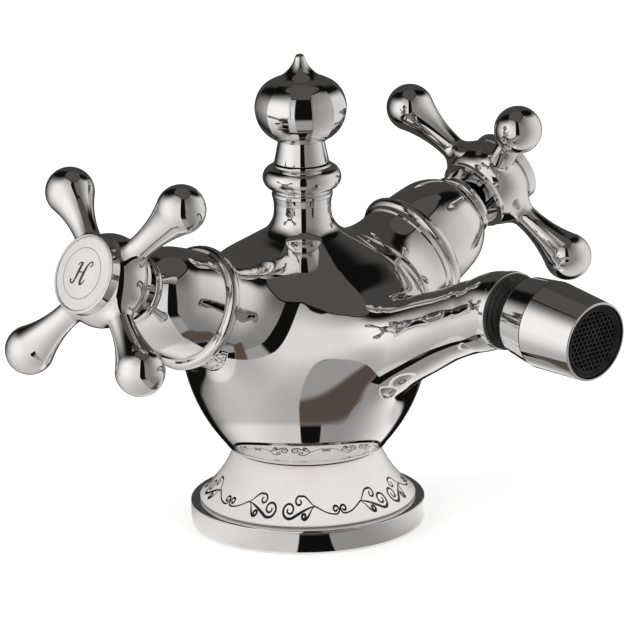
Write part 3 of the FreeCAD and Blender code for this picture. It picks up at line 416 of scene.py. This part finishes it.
def onion():
    # the profile's radius shrinks between ridges: 1 - depth (1 - (1 - q)^2), q the rounded distance to a
    # ridge, and a fine rib runs along each ridge; both fade towards the foot and the nib
    b = knob
    tip = b["height"] - b["nibAt"]
    ball = (b["nib"]**2 + tip**2) / (2 * tip)
    line = profile([(b["foot"], 0, b["lowerArc"], 1), (b["belly"], b["bellyAt"], b["upperArc"], 1),
                    (b["shoulder"], b["shoulderAt"], b["sweep"], -1), (b["nib"], b["nibAt"], ball, 1),
                    (0, b["height"])], 2.0)
    line = np.concatenate([[[0.0, 0.0], [b["foot"] / 2, 0.0]], line])
    v = ringAngles(320)
    sector = (v - math.radians(b["face"])) * b["gores"] / (2 * pi)
    q = 1 - 2 * np.abs(sector - np.round(sector))
    q = np.sqrt(q**2 + b["ridge"]**2) - b["ridge"]
    fade = (np.clip(line[:, 1] / b["fadeFoot"], 0, 1)
            * np.clip((b["nibAt"] + b["fadePast"] - line[:, 1]) / b["fadeTop"], 0, 1))
    rib = b["rib"] * np.exp(-(q / b["ribWidth"])**2)
    r = line[:, 0][:, None] * (1 - fade[:, None] * (b["depth"] * (1 - (1 - q)**2) - rib))
    h = b["low"] + line[:, 1][:, None] + 0 * v
    return np.stack([r * cos(v), r * sin(v), h], -1)


piece("onionKnob", [onion()], "lift_knob", chrome, ["finial_knob"], crease=40)

stem = {"low": 109.0, "foot": 8.0, "edge": 0.2, "top": 6.75, "high": 115.5}
b = stem
piece("stemTurned", [turned(profile([
    (0, b["low"]), (b["foot"] - b["edge"], b["low"], b["edge"], 1), (b["foot"], b["low"] + b["edge"]),
    (b["top"], b["high"]), (0, b["high"])]))], "lift_knob", chrome, ["knob_stem"])
print("knob done")


ball = {"centre": (0, -96.5, 80.4), "spoutDrop": 2.0, "nozzleDrop": 4.9}


def ballPlace(drop):
    # out of the spout from the ball's centre, dipping by that angle
    dip = math.radians(drop)
    return ball["centre"], axes((0, -math.cos(dip), -math.sin(dip)), (1, 0, 0))


casting = {"foot": 21.86, "low": 23.4, "bead": 3.2, "lip": 24.26, "lipAt": 25.3, "lowerArc": 49.5,
           "belly": 36.6, "bellyAt": 58.0, "upperArc": 27.5, "shoulder": 22.85, "shoulderAt": 81.816,
           "neckFoot": 12.4, "neckFootAt": 87.849, "neckArc": 8.0, "neck": 8.4, "neckAt": 94.777,
           "neckHigh": 96.9, "top": 8.8, "high": 98.9,
           "branch": 16.5, "branchStart": 8.0, "branchEnd": 45.0, "branchFrom": 53.7, "branchLift": 24.6,
           "branchEase": 8.0, "rootEase": (-1.533, -7.93, -4.817, 11.98, 14.3),
           "spout": [(16, 47, 15.5, 36), (37, 60, 12.6, 31), (50.5, 67, 11.3, 27), (62, 72.4, 10.3, 23),
                     (73.5, 77.1, 10.5, 17), (83.81, 80.84, 10.8, -2)],  # reach, height, radius, rise
           "endIn": 10.8, "endOut": 11.3, "endEdge": 0.3, "endLow": -12.7, "endHigh": -10.5, "endMiddle": 6.0}
b = casting
bulb = profile([(b["foot"], b["low"], b["bead"], 1), (b["lip"], b["lipAt"], b["lowerArc"], 1),
                (b["belly"], b["bellyAt"], b["upperArc"], 1), (b["shoulder"], b["shoulderAt"]),
                (b["neckFoot"], b["neckFootAt"], b["neckArc"], -1), (b["neck"], b["neckAt"]),
                (b["neck"], b["neckHigh"]), (b["top"], b["high"])], 1.5)
bulbLean = np.gradient(bulb[:, 0], bulb[:, 1])


def offBulb(p):
    # distance from the bulb: radius beyond the profile's, foreshortened by its slope
    lean = np.interp(p[..., 2], bulb[:, 1], bulbLean)
    beyond = np.hypot(p[..., 0], p[..., 1]) - np.interp(p[..., 2], bulb[:, 1], bulb[:, 0])
    return beyond / np.sqrt(1 + lean**2)


def spoutPath(count=24):
    # a path through the stations: a cubic between each two, its ends along their rises; the radius too
    reach, height, radius, rise = np.array(casting["spout"], float).T
    p = np.stack([0 * reach, -reach, height], 1)
    lean = np.radians(rise)
    run = np.stack([0 * lean, -cos(lean), sin(lean)], 1)
    chord = np.linalg.norm(p[1:] - p[:-1], axis=1)
    swell = np.gradient(radius, np.concatenate([[0], np.cumsum(chord)]))[:, None]
    t = (np.arange(count) / count)[None, :, None]

    def along(value, change):
        # a station's value and its change carried over every span
        rows = cubic(t, value[:-1, None], value[1:, None], chord[:, None, None] * change[:-1, None],
                     chord[:, None, None] * change[1:, None])
        return np.concatenate([rows.reshape(-1, value.shape[1]), value[-1:]])
    path = along(p, run)
    ahead = unit(np.gradient(path, axis=0))
    ahead[-1] = run[-1]
    return path, along(radius[:, None], swell)[:, 0], ahead, np.cross(ahead, (1.0, 0, 0))


path, pathRadius, pathAhead, pathAbove = spoutPath()
pathStep = np.linalg.norm(np.diff(path, axis=0), axis=1)
pathSwell = np.gradient(pathRadius, np.concatenate([[0], np.cumsum(pathStep)]))


def offSpout(p):
    # distance from the spout's tube, and how far up its section the point stands, from -1 to 1
    flat = p.reshape(-1, 3)
    near = ((flat[:, None, 1] - path[:, 1])**2 + (flat[:, None, 2] - path[:, 2])**2).argmin(1)
    along = ((flat - path[near]) * pathAhead[near]).sum(1)
    along = np.where(near == 0, np.maximum(along, 0), along)
    off = flat - path[near] - along[:, None] * pathAhead[near]
    far = np.linalg.norm(off, axis=1)
    up = (off * pathAbove[near]).sum(1) / np.maximum(far, 1e-6)
    return (far - pathRadius[near] - along * pathSwell[near]).reshape(p.shape[:-1]), up.reshape(p.shape[:-1])


def spoutEase(up):
    # the blend at the spout's root, a polynomial: about 4 mm below, 14 at the sides, 18 above them, 12 on top
    return np.polyval(casting["rootEase"], up)


def bulbAndSpout(p):
    # distance from bulb and spout, with the blend between them
    away, up = offSpout(p)
    return rounded(offBulb(p), away, spoutEase(up))


def branch(side):
    # a plain tube along the valve's axis that the body's skin runs into, its end face drawn in to a pole
    b = casting
    lift = math.radians(b["branchLift"])
    first, second, out = axes((side * math.cos(lift), 0, math.sin(lift)), (0, 1, 0))
    x = np.linspace(b["branchStart"], b["branchEnd"], 32)
    v = ringAngles(160)
    start = np.array([0, 0, b["branchFrom"]])

    def tube(extra):
        # circles of one radius along the axis
        r = b["branch"] + extra + 0 * x[:, None]
        return (start + x[:, None, None] * out + (r * cos(v))[..., None] * first
                + (r * sin(v))[..., None] * second)

    def skin(p):
        # distance from body and branch, with the blend between them
        off = p - start
        away = np.linalg.norm(off - (off @ out)[..., None] * out, axis=-1) - b["branch"]
        return rounded(bulbAndSpout(p), away, b["branchEase"])
    return capped(limb(tube, bulbAndSpout, np.full(len(v), b["branchEase"]), skin=skin))


def spout():
    # circles along the path, run into the bulb, then the raised band at the end
    b = casting
    v = ringAngles(192)

    def tube(extra):
        # circles square to the path, each with the path's radius there
        r = pathRadius[:, None] + extra
        return (path[:, None] + (r * cos(v))[..., None] * np.array([1.0, 0, 0])
                + (r * sin(v))[..., None] * pathAbove[:, None])
    neck = capped(limb(tube, offBulb, spoutEase(sin(v)), rows=48, skin=bulbAndSpout))
    out, edge, low, high = (b[key] for key in ("endOut", "endEdge", "endLow", "endHigh"))
    band = turned(profile([
        (b["endIn"], low), (out - edge, low, edge, 1), (out, low + edge), (out, high - edge, edge, 1),
        (out - edge, high), (b["endMiddle"], high), (0, high)]), ballPlace(ball["spoutDrop"]), 128)
    return [neck, capped(band[::-1])]


spun = np.concatenate([[[0, casting["low"]]], bulb, [[0, casting["high"]]]])
piece("bodyCast", [turned(spun, around=224), branch(-1), branch(1)] + spout(), "fixed",
      chrome, ["body_casting"], crease=32)
print("body done")


dome = {"flange": 17.0, "flangeRise": 1.4, "bead": 5.2, "beadArc": 1.92, "beadEdge": 0.15, "foot": 16.2,
        "footStep": 0.6, "footRise": 0.1, "bellArc": 60.0, "waist": 15.5, "waistAt": 14.0,
        "shoulderArc": 15.5, "top": 9.6, "high": 24.9, "bore": 4.2}
nut = {"low": dome["high"], "radius": 9.3, "arc": 1.38, "high": 27.4, "sleeve": 6.2, "sleeveHigh": 31.8,
       "bore": dome["bore"]}
handle = {"rear": 31.2, "rim": 11.3, "rimEdge": 0.25, "rimRise": 1.2, "wall": 1.7, "bulge": 8.2, "face": 11.2,
          "front": 44.0, "cup": 3.3, "boss": 32.0, "bossRadius": 6.0, "bore": 4.05, "plane": 38.6,
          "armFrom": 4.0, "neck": 3.65, "neckAt": 16.0, "ball": 7.15, "ballAt": 33.0, "fillet": 3.9,
          "spreadAcross": 1.45, "spreadAlong": 0.42, "phase": {"hot": 49.0, "cold": 43.5}}
index = {"radius": 10.64, "edge": 47.2, "crown": 48.1, "thick": 1.5, "underEdge": 0.2, "topEdge": 0.3,
         "bezel": 11.6, "bezelLow": handle["front"], "bezelHigh": 47.3, "bezelFoot": 0.3, "bezelEdge": 0.4,
         "bezelLip": 0.25, "lipFall": 0.3, "gap": 0.06, "seat": 1.6, "bore": 4.0, "ring": 7.4,
         "ringWidth": 0.2, "letter": 0.78, "letterSize": 0.88, "lift": 0.04}
sides = {"hot": -1, "cold": 1}


def valvePlace(side, up=0.0, turn=0.0):
    # the valve axis leaves the body's middle sideways and up; up is measured from the branch's end face
    lift, turn = math.radians(casting["branchLift"]), math.radians(turn)
    out = np.array([side * math.cos(lift), 0, math.sin(lift)])
    first, second = np.array([math.sin(lift), 0, -side * math.cos(lift)]), np.array([0, 1.0, 0])
    origin = np.array([0, 0, casting["branchFrom"]]) + out * (casting["branchEnd"] + up)
    c, s = math.cos(turn), math.sin(turn)
    return origin, (c * first + s * second, c * second - s * first, out)


def hubLine():
    # the hub's bulging flank, one arc from rim to face
    b = handle
    return profile([(b["rim"], b["rear"] + b["rimRise"], b["bulge"], 1), (b["face"], b["front"])], 2.0)


def hubGrid(place):
    # the cup behind, the flank, the face and the boss, spun about the valve's axis
    b = handle
    inner, deep = b["rim"] - b["wall"], b["rear"] + b["cup"]
    back = profile([(inner, deep), (inner, b["rear"]), (b["rim"] - b["rimEdge"], b["rear"], b["rimEdge"], 1),
                    (b["rim"], b["rear"] + b["rimEdge"]), (b["rim"], b["rear"] + b["rimRise"])])
    cover = profile([(b["face"], b["front"]), (b["bore"], b["front"]), (b["bore"], b["boss"]),
                     (b["bossRadius"], b["boss"]), (b["bossRadius"], deep), (inner, deep)])
    return turned(np.concatenate([back[:-1], hubLine(), cover[1:]]), place, 192)


def arms(side, phase):
    # four arms: a circle whose radius falls to a neck and swells in a concave arc to a ball, on a hub's flank
    b = handle
    origin, (first, second, third) = valvePlace(side, b["plane"], phase)
    span = b["ballAt"] - b["neckAt"]
    sweep = (span**2 + b["neck"]**2 - b["ball"]**2) / (2 * (b["ball"] - b["neck"]))
    meet = b["neckAt"] + span * sweep / (sweep + b["ball"])
    x = np.concatenate([np.linspace(b["armFrom"], b["neckAt"], 60), np.linspace(b["neckAt"], meet, 40)[1:]])
    r = np.where(x < b["neckAt"], b["neck"], b["neck"] + sweep - np.sqrt(np.maximum(
        sweep**2 - (x - b["neckAt"])**2, 0)))
    last = np.linspace(math.acos((meet - b["ballAt"]) / b["ball"]), 0.0, 44)[1:]
    x = np.concatenate([x, b["ballAt"] + b["ball"] * cos(last)])
    r = np.concatenate([r, b["ball"] * sin(last)])
    v = ringAngles(72)
    line = hubLine()

    def inside(p):
        # distance from the hub's flank, measured square to the valve's axis
        h = (p - origin) @ third
        away = (p - origin) - h[..., None] * third
        return np.linalg.norm(away, axis=-1) - np.interp(h + b["plane"], line[:, 1], line[:, 0])

    grids = []
    for a in ringAngles(4):
        out = cos(a) * first + sin(a) * second
        across = cos(a) * second - sin(a) * first

        def tube(extra):
            # ellipses along the arm that spread more across than along the axis
            wide = np.where(x < b["ballAt"] - b["ball"], extra, 0.0)
            rc, rs = r + wide * b["spreadAcross"], r + wide * b["spreadAlong"]
            return (origin + x[:, None, None] * out + (rc[:, None] * cos(v))[..., None] * across
                    + (rs[:, None] * sin(v))[..., None] * third)
        grids.append(limb(tube, inside, b["fillet"]))
    return grids


def letterH():
    # two leaning stems with a hook and a loop at their ends, and a thin bar
    return [stroke(bow((-2.3, 2.2), (-1.6, 3.6), (-0.7, 3.4), (-0.5, 3.0)),
                   bow((-0.5, 3.0), (-1.1, 1.0), (-1.6, -1.4), (-2.2, -2.9)),
                   bow((-2.2, -2.9), (-2.7, -4.3), (-4.3, -4.1), (-3.9, -2.6)),
                   swell=(0.4, 0.6, 1.2, 1.3, 0.8, 0.6, 1.0)),
            stroke(bow((3.3, 2.7), (4.4, 3.2), (4.1, 4.4), (3.3, 4.2)),
                   bow((3.3, 4.2), (2.2, 3.9), (1.7, 2.0), (1.2, 0.2)),
                   bow((1.2, 0.2), (0.7, -1.5), (0.2, -3.6), (0.9, -3.6)),
                   bow((0.9, -3.6), (1.6, -3.6), (2.3, -2.4), (2.5, -1.8)),
                   swell=(0.6, 0.5, 0.7, 1.3, 1.2, 0.6, 0.35)),
            stroke(bow((-1.6, -0.1), (-0.6, 0.5), (0.4, 0.1), (1.5, 0.6)), swell=(0.5, 0.5))]


def letterC():
    # one leaning round stroke with a curl at its top and a thin way out at its foot
    return [stroke(bow((1.5, 2.2), (2.2, 1.6), (3.1, 2.6), (2.4, 3.6)),
                   bow((2.4, 3.6), (1.2, 4.8), (-2.4, 2.6), (-2.7, -0.9)),
                   bow((-2.7, -0.9), (-2.8, -4.9), (1.2, -4.6), (2.5, -1.9)),
                   swell=(0.9, 0.6, 0.6, 1.2, 1.3, 0.8, 0.35))]


for side, sign in sides.items():
    control, place = side + "_control", valvePlace(sign)
    b = dome
    piece(side + "DomeTurned", [turned(profile([
        (b["bore"], 0), (b["flange"], 0), (b["flange"], b["flangeRise"], b["beadArc"], 1),
        (b["flange"], b["bead"] - b["beadEdge"], b["beadEdge"], -1), (b["foot"] + b["footStep"], b["bead"]),
        (b["foot"], b["bead"] + b["footRise"], b["bellArc"], 1),
        (b["waist"], b["waistAt"], b["shoulderArc"], 1), (b["top"], b["high"]), (b["bore"], b["high"]),
        (b["bore"], 0)]), place, 224)], "fixed", chrome, [side + "_dome"])
    b = nut
    piece(side + "NutTurned", [turned(profile([
        (b["bore"], b["low"]), (b["radius"], b["low"], b["arc"], 1), (b["radius"], b["high"]),
        (b["sleeve"], b["high"]), (b["sleeve"], b["sleeveHigh"]), (b["bore"], b["sleeveHigh"]),
        (b["bore"], b["low"])]), place, 144)], "fixed", chrome, [side + "_dome_nut"])
    piece(side + "CrossHandle", [hubGrid(place)] + arms(sign, handle["phase"][side]), control,
          chrome, [side + "_handle"])
    b = index
    hole, floorAt = b["radius"] + b["gap"], b["edge"] - b["seat"]
    piece(side + "BezelTurned", [turned(profile([
        (b["bore"], b["bezelLow"]), (b["bezel"] - b["bezelFoot"], b["bezelLow"], b["bezelFoot"], 1),
        (b["bezel"], b["bezelLow"] + b["bezelFoot"]),
        (b["bezel"], b["bezelHigh"] - b["bezelEdge"], b["bezelEdge"], 1),
        (b["bezel"] - b["bezelEdge"], b["bezelHigh"], b["bezelLip"], 1),
        (hole, b["bezelHigh"] - b["lipFall"]), (hole, floorAt), (b["bore"], floorAt),
        (b["bore"], b["bezelLow"])]), place, 176)],
        control, chrome, [side + "_index_bezel"])
    rise = b["crown"] - b["edge"]
    crownArc = (b["radius"]**2 + rise**2) / (2 * rise)
    under = b["edge"] - b["thick"]
    piece(side + "IndexDisc", [turned(profile([
        (0, under), (b["radius"] - b["underEdge"], under, b["underEdge"], 1),
        (b["radius"], under + b["underEdge"]), (b["radius"], b["edge"] - b["topEdge"], b["topEdge"], 1),
        (b["radius"] - b["topEdge"], b["edge"], crownArc, 1), (0, b["crown"])], 0.4), place)],
        control, enamel, [side + "_index_disc"])
    origin, third = place[0], place[1][2]
    upward = unit(np.array([0, 0, 1.0]) - third * third[2])  # the letter stands upright
    right = np.cross(upward, third)

    def onDisc(x, y, lift):
        # lays a flat drawing on the crowned disc
        h = index["crown"] - (crownArc - np.sqrt(crownArc**2 - x**2 - y**2)) + index["lift"] * lift
        return origin + x[:, None] * right + y[:, None] * upward + h[:, None] * third
    strokes = letterH() if side == "hot" else letterC()
    letter = [ribbon(line * b["letterSize"], width * b["letter"], onDisc) for line, width in strokes]
    piece(side + "IndexLetter", letter, control, darkFigure, openGrid=True)
    t = np.linspace(0, 2 * pi, 161)
    ring = ribbon(b["ring"] * np.stack([cos(t), sin(t)], 1), 0 * t + b["ringWidth"], onDisc)
    piece(side + "IndexRing", [ring], control, greyFigure, openGrid=True)
print("valves done")


insert = {"field": 8.9, "pitch": 1.55, "wall": 0.36, "taper": 0.05, "front": 21.35, "deep": 2.6,
          "outer": 10.6, "rim": 8.55, "rimHigh": 21.8, "low": 18.4, "lap": 0.6, "floor": 0.2, "bevel": 0.1,
          "proud": 0.12, "groove": (9.75, 9.65, 9.45, 9.35), "grooveDeep": 0.35, "ledge": (9.0, 8.9),
          "ledgeFall": 0.05, "ledgeArc": 0.2}


def honeycomb():
    # hexagon cells in rows: a rim between two hexagons, walls down to a floor, the floor drawn to its middle
    b = insert
    origin, (first, second, third) = ballPlace(ball["nozzleDrop"])
    reach = int(2 * b["field"] / b["pitch"]) + 1
    span = np.arange(-reach, reach + 1)
    row, column = np.meshgrid(span, span, indexing="ij")
    x = ((column + row / 2) * b["pitch"]).ravel()
    y = (row * b["pitch"] * math.sqrt(3) / 2).ravel()
    keep = np.hypot(x, y) < b["field"]
    v = ringAngles(6) + pi / 6
    mouth, low = b["pitch"] - b["wall"], b["front"] - b["deep"]
    rings = np.array([(b["pitch"], b["front"]), (mouth, b["front"]), (mouth - b["taper"], low), (0, low)])
    r, h = rings[:, :1] / math.sqrt(3), rings[:, 1:]
    x = x[keep][:, None, None] + r * cos(v)
    y = y[keep][:, None, None] + r * sin(v)
    return list(np.array(origin) + x[..., None] * first + y[..., None] * second + h[..., None] * third)


def insertRim():
    # the ring round the cells, with a groove, a ledge and a step down to the honeycomb
    b = insert
    wall, high, step = b["field"] - b["lap"], b["rimHigh"], b["front"] + b["proud"]
    outer, inner = b["groove"][:2], b["groove"][2:]
    return turned(profile([
        (wall, b["low"]), (b["outer"], b["low"]), (b["outer"], high - b["bevel"]),
        (b["outer"] - b["bevel"], high), (outer[0], high), (outer[1], high - b["grooveDeep"]),
        (inner[0], high - b["grooveDeep"]), (inner[1], high - b["ledgeFall"], b["ledgeArc"], 1),
        (b["ledge"][0], high - b["ledgeFall"]), (b["ledge"][1], step), (b["rim"], step),
        (b["rim"], b["low"] + b["floor"]), (wall, b["low"])]), ballPlace(ball["nozzleDrop"]), 128)


piece("honeycombInsert", honeycomb() + [insertRim()], "nozzle", moulding, ["aerator_insert"])

# painted shade and painted reflection: a black stepped ring set in the gap at the spout's end, standing in
# for the shade and dark reflections there
gapShade = {"low": -10.5, "high": -7.6, "inner": 6.1, "outer": 10.9,
          "steps": [(10.9, -9.7), (10.2, -9.6), (10.2, -8.9), (8.9, -8.8), (8.9, -8.2), (7.6, -8.1),
                    (7.6, -7.7)]}
b = gapShade
piece("spoutGapShade", [turned(profile([
    (b["inner"], b["low"]), (b["outer"], b["low"]), *b["steps"], (b["inner"], b["high"]),
    (b["inner"], b["low"])]), ballPlace(ball["spoutDrop"]), 128)], "fixed", rubber)

seam = {"inner": 10.95, "outer": 12.42, "low": 4.87, "high": 5.13}  # painted shade: a thin black ring that darkens the seam between nut and housing
b = seam
piece("seamShadeRing", [turned(profile([
    (b["inner"], b["low"]), (b["outer"], b["low"]), (b["outer"], b["high"]), (b["inner"], b["high"]),
    (b["inner"], b["low"])]), ballPlace(ball["nozzleDrop"]))], "nozzle", rubber)
print("nozzle done")


studio = {"azimuth": 42.38, "elevation": 15.72, "roll": 1.05, "away": 1.5203, "aim": (0, 0, 0.0721),
          "pixels": 5200.0, "frame": 640.0, "aimPixel": (303.9, 283.5), "sensor": 36.0, "farthest": 50.0}
turnA, turnE, roll = (math.radians(studio[k]) for k in ("azimuth", "elevation", "roll"))
toCamera = Vector((-math.sin(turnA) * math.cos(turnE), -math.cos(turnA) * math.cos(turnE), math.sin(turnE)))
rightward = Vector((math.cos(turnA), -math.sin(turnA), 0))
upward = toCamera.cross(rightward)
camera = bpy.data.objects.new("camera", bpy.data.cameras.new("camera"))
bpy.context.collection.objects.link(camera)
camX = rightward * math.cos(roll) - upward * math.sin(roll)
camY = rightward * math.sin(roll) + upward * math.cos(roll)
camera.matrix_world = Matrix((camX, camY, toCamera)).transposed().to_4x4()
camera.matrix_world.translation = Vector(studio["aim"]) + toCamera * studio["away"]
camera.data.sensor_width = studio["sensor"]
camera.data.lens = studio["pixels"] * studio["sensor"] / studio["frame"]
camera.data.shift_x = (studio["frame"] / 2 - studio["aimPixel"][0]) / studio["frame"]
camera.data.shift_y = (studio["aimPixel"][1] - studio["frame"] / 2) / studio["frame"]
camera.data.clip_end = studio["farthest"]
bpy.context.scene.camera = camera


def stageMesh(name, verts, faces, material):
    # a mesh that belongs to the studio and not to the object
    mesh = bpy.data.meshes.new(name)
    mesh.from_pydata(verts.tolist(), [], faces.tolist())
    mesh.materials.append(material)
    made = bpy.data.objects.new(name, mesh)
    bpy.context.collection.objects.link(made)
    return made


def bare(name):
    # a new material without nodes, its wire and the object coordinates
    material = bpy.data.materials.new(name)
    material.use_nodes = True
    material.node_tree.nodes.clear()
    wire = Wire(material.node_tree)
    return material, wire, wire.node("TexCoord", out=3)


def seen(wire):
    # 1 for the eye, in reflections and through glass, else 0
    eye, mirror, glass = (wire.node("LightPath", out=number) for number in (0, 3, 6))
    return (eye + mirror + glass).ramp(0.0, 1.0)


floor = {"radius": 3.5, "sides": 96, "clouds": 6.0, "cloudRange": (0.2, 0.8), "dark": (0.78, 0.78, 0.78, 1),
         "light": (0.80, 0.80, 0.80, 1), "glow": 0.35}


def floorMaterial():
    # pale board; for the eye and in reflections a little light of its own brings it up to white
    material, wire, place = bare("pale floor")
    cloud = wire.noise(place, floor["clouds"]).ramp(*floor["cloudRange"])
    board = wire.node("BsdfDiffuse", None, {"Color": cloud.tint(floor["dark"], floor["light"])})
    glow = wire.node("Emission", None, {"Strength": seen(wire) * floor["glow"]})
    both = wire.node("AddShader", None, {0: board, 1: glow})
    wire.node("OutputMaterial", None, {"Surface": both})
    return material


count = floor["sides"]
v = ringAngles(count)
rim = np.stack([floor["radius"] * cos(v), floor["radius"] * sin(v), 0 * v], 1)
fan = np.stack([np.arange(count), (np.arange(count) + 1) % count, np.full(count, count)], 1)
stageMesh("floor", np.concatenate([rim, [[0, 0, 0]]]), fan, floorMaterial())


room = {"radius": 0.45, "near": 0.0352, "low": 0.0006, "vaultFrom": 0.02, "around": 96, "eye": 0.06,
        "dark": 0.006, "white": (1.0, 0.975, 0.965, 1), "brown": (1, 0.83, 0.73, 1),
        "board": (-46.0, -50.0), "boardLeft": 0.25, "boardRight": 0.35,  # pale, close round the base
        "top": 66.0, "topFall": 8.0, "topFallSide": (-30.0, 0.0), "topClimb": 6.0,
        "topClimbSide": (14.0, 60.0), "topSoft": (0.6, 1.6), "ceiling": 0.09, "ceilingSoft": (0.4, 1.4),
        "left": (-142.0, -78.0), "leftLean": 48.0, "leftLeanRise": (18.0, 66.0),
        "leftPeak": 1.14, "leftPeakAt": -60.0, "leftDim": 0.24, "leftDimSide": (0.0, 45.0),
        "leftFoot": 0.58, "leftGain": 0.42, "leftGainRise": (-36.0, 2.0),
        "right": (128.0, 156.0), "rightLean": 50.0, "rightLeanRise": (12.0, 60.0),
        "rightNear": 0.28, "rightGain": 0.54, "rightGainSide": (32.0, 112.0),
        "rightFoot": 0.88, "rightLift": 0.12, "rightLiftRise": (-40.0, -10.0),
        "slotLeft": (-6.4, -5.4), "slotRight": (13.0, 14.0), "slotRise": (-16.0, -11.0), "slotFloor": 0.38,
        "fall": 0.55, "fallRise": (24.0, 66.0), "back": 0.06, "backSide": (136.0, 150.0),
        "footFrom": (112.0, 122.0), "footTo": (144.0, 152.0), "footRise": (-18.0, -26.0),
        "table": 0.095, "tableAt": 15.0, "tableHalf": (22.0, 20.0), "tableRise": (-33.0, -37.0)}


def roomMaterial():
    # what polished metal sees, by bearing and rise in degrees: tall white screens left and right of the
    # camera, a dark slot between them, a grey ceiling, a dim screen behind and a brown table round the board
    b = room
    material, wire, place = bare("studio room")
    x, y, z = (wire.node("SeparateXYZ", None, {0: place}, out=number) for number in range(3))
    across = x * math.cos(turnA) - y * math.sin(turnA)
    front = x * -math.sin(turnA) - y * math.cos(turnA)
    flat = wire.math("SQRT", across * across + front * front)
    rise = wire.math("ARCTAN2", z - b["eye"], flat) * (180 / pi)
    side = wire.math("ARCTAN2", across, front) * (180 / pi)  # right of the camera is positive
    away = abs(side)
    board = rise.ramp(*b["board"])
    top = b["top"] - b["topFall"] * side.ramp(*b["topFallSide"])
    top = top + b["topClimb"] * side.ramp(*b["topClimbSide"])
    above = (rise - top).ramp(*b["ceilingSoft"])
    pastLeft, pastRight = side.ramp(*b["slotLeft"]), side.ramp(*b["slotRight"])
    left = (side - b["leftLean"] * rise.ramp(*b["leftLeanRise"])).ramp(*b["left"]) * (1 - pastLeft)
    left = left * (b["leftPeak"] - b["leftDim"] * abs(side - b["leftPeakAt"]).ramp(*b["leftDimSide"]))
    left = left * (b["leftFoot"] + b["leftGain"] * rise.ramp(*b["leftGainRise"]) + b["boardLeft"] * board)
    right = pastRight * (1 - (side + b["rightLean"] * rise.ramp(*b["rightLeanRise"])).ramp(*b["right"]))
    right = right * (b["rightNear"] + b["rightGain"] * side.ramp(*b["rightGainSide"]))
    right = right * (b["rightFoot"] + b["rightLift"] * rise.ramp(*b["rightLiftRise"])
                     + b["boardRight"] * board)
    # the slot is dark above, and lower down a grey floor shows before the brown table
    middle = pastLeft * (1 - pastRight)
    slot = middle * (board + rise.ramp(*b["slotRise"]))
    foot = away.ramp(*b["footFrom"]) * (1 - away.ramp(*b["footTo"])) * rise.ramp(*b["footRise"])
    table = abs(side - b["tableAt"]).ramp(*b["tableHalf"]) * rise.ramp(*b["tableRise"]) * (1 - board)
    screens = (left + right + b["slotFloor"] * middle) * (1 - b["fall"] * rise.ramp(*b["fallRise"]))
    screens = screens * (top - rise).ramp(*b["topSoft"])
    back = b["back"] * away.ramp(*b["backSide"]) * (1 - above)
    light = b["dark"] + (screens + back) * (1 - slot) * (1 - foot) * (1 - table)
    light = light + b["ceiling"] * above + b["table"] * table
    glow = wire.node("Emission", None, {"Color": table.tint(b["white"], b["brown"]), "Strength": light})
    wire.node("OutputMaterial", None, {"Surface": glow})
    return material


def roomGrid():
    # a vault over a flat ring of table that stops short of the object
    b = room
    t = np.linspace(b["vaultFrom"], pi / 2, 40)
    vault = np.stack([b["radius"] * cos(t), b["low"] + b["radius"] * sin(t)], 1)
    line = np.concatenate([[[b["near"], b["low"]], [b["radius"], b["low"]]], vault])
    grid = turned(line, around=b["around"])
    return grid.reshape(-1, 3), gridFaces(*grid.shape[:2])


roomShell = stageMesh("studioRoom", *roomGrid(), roomMaterial())
roomShell.visible_camera = roomShell.visible_diffuse = roomShell.visible_shadow = False


lamps = {"away": 1.8, "size": 1.4, "aim": (0, 0, 0.07),
         "screens": {"leftScreen": (-55, 30, 17.0), "rightScreen": (55, 30, 22.0),
                     "topScreen": (180, 70, 12.0)}}  # bearing, rise, watts


def lamp(name, bearing, rise, watts):
    # a soft lamp turned to the object, seen by diffuse surfaces only
    data = bpy.data.lights.new(name, "AREA")
    data.size, data.energy = lamps["size"], watts
    made = bpy.data.objects.new(name, data)
    bpy.context.collection.objects.link(made)
    a, e = math.radians(bearing), math.radians(rise)
    ahead = Vector((-math.sin(turnA), -math.cos(turnA), 0))
    out = (ahead * math.cos(a) + rightward * math.sin(a)) * math.cos(e) + Vector((0, 0, math.sin(e)))
    made.location = Vector(lamps["aim"]) + out * lamps["away"]
    made.rotation_euler = out.to_track_quat("Z", "Y").to_euler()
    made.visible_glossy = False


for name, values in lamps["screens"].items():
    lamp(name, *values)

sky = {"base": 0.5, "seen": 0.5}
world = bpy.data.worlds.new("white room")
bpy.context.scene.world = world
world.use_nodes = True
world.node_tree.nodes.clear()
wire = Wire(world.node_tree)
background = wire.node("Background", None, {"Strength": sky["base"] + sky["seen"] * seen(wire)})
wire.node("OutputWorld", None, {"Surface": background})
bpy.context.scene.view_settings.view_transform = "Standard"
print("studio done")
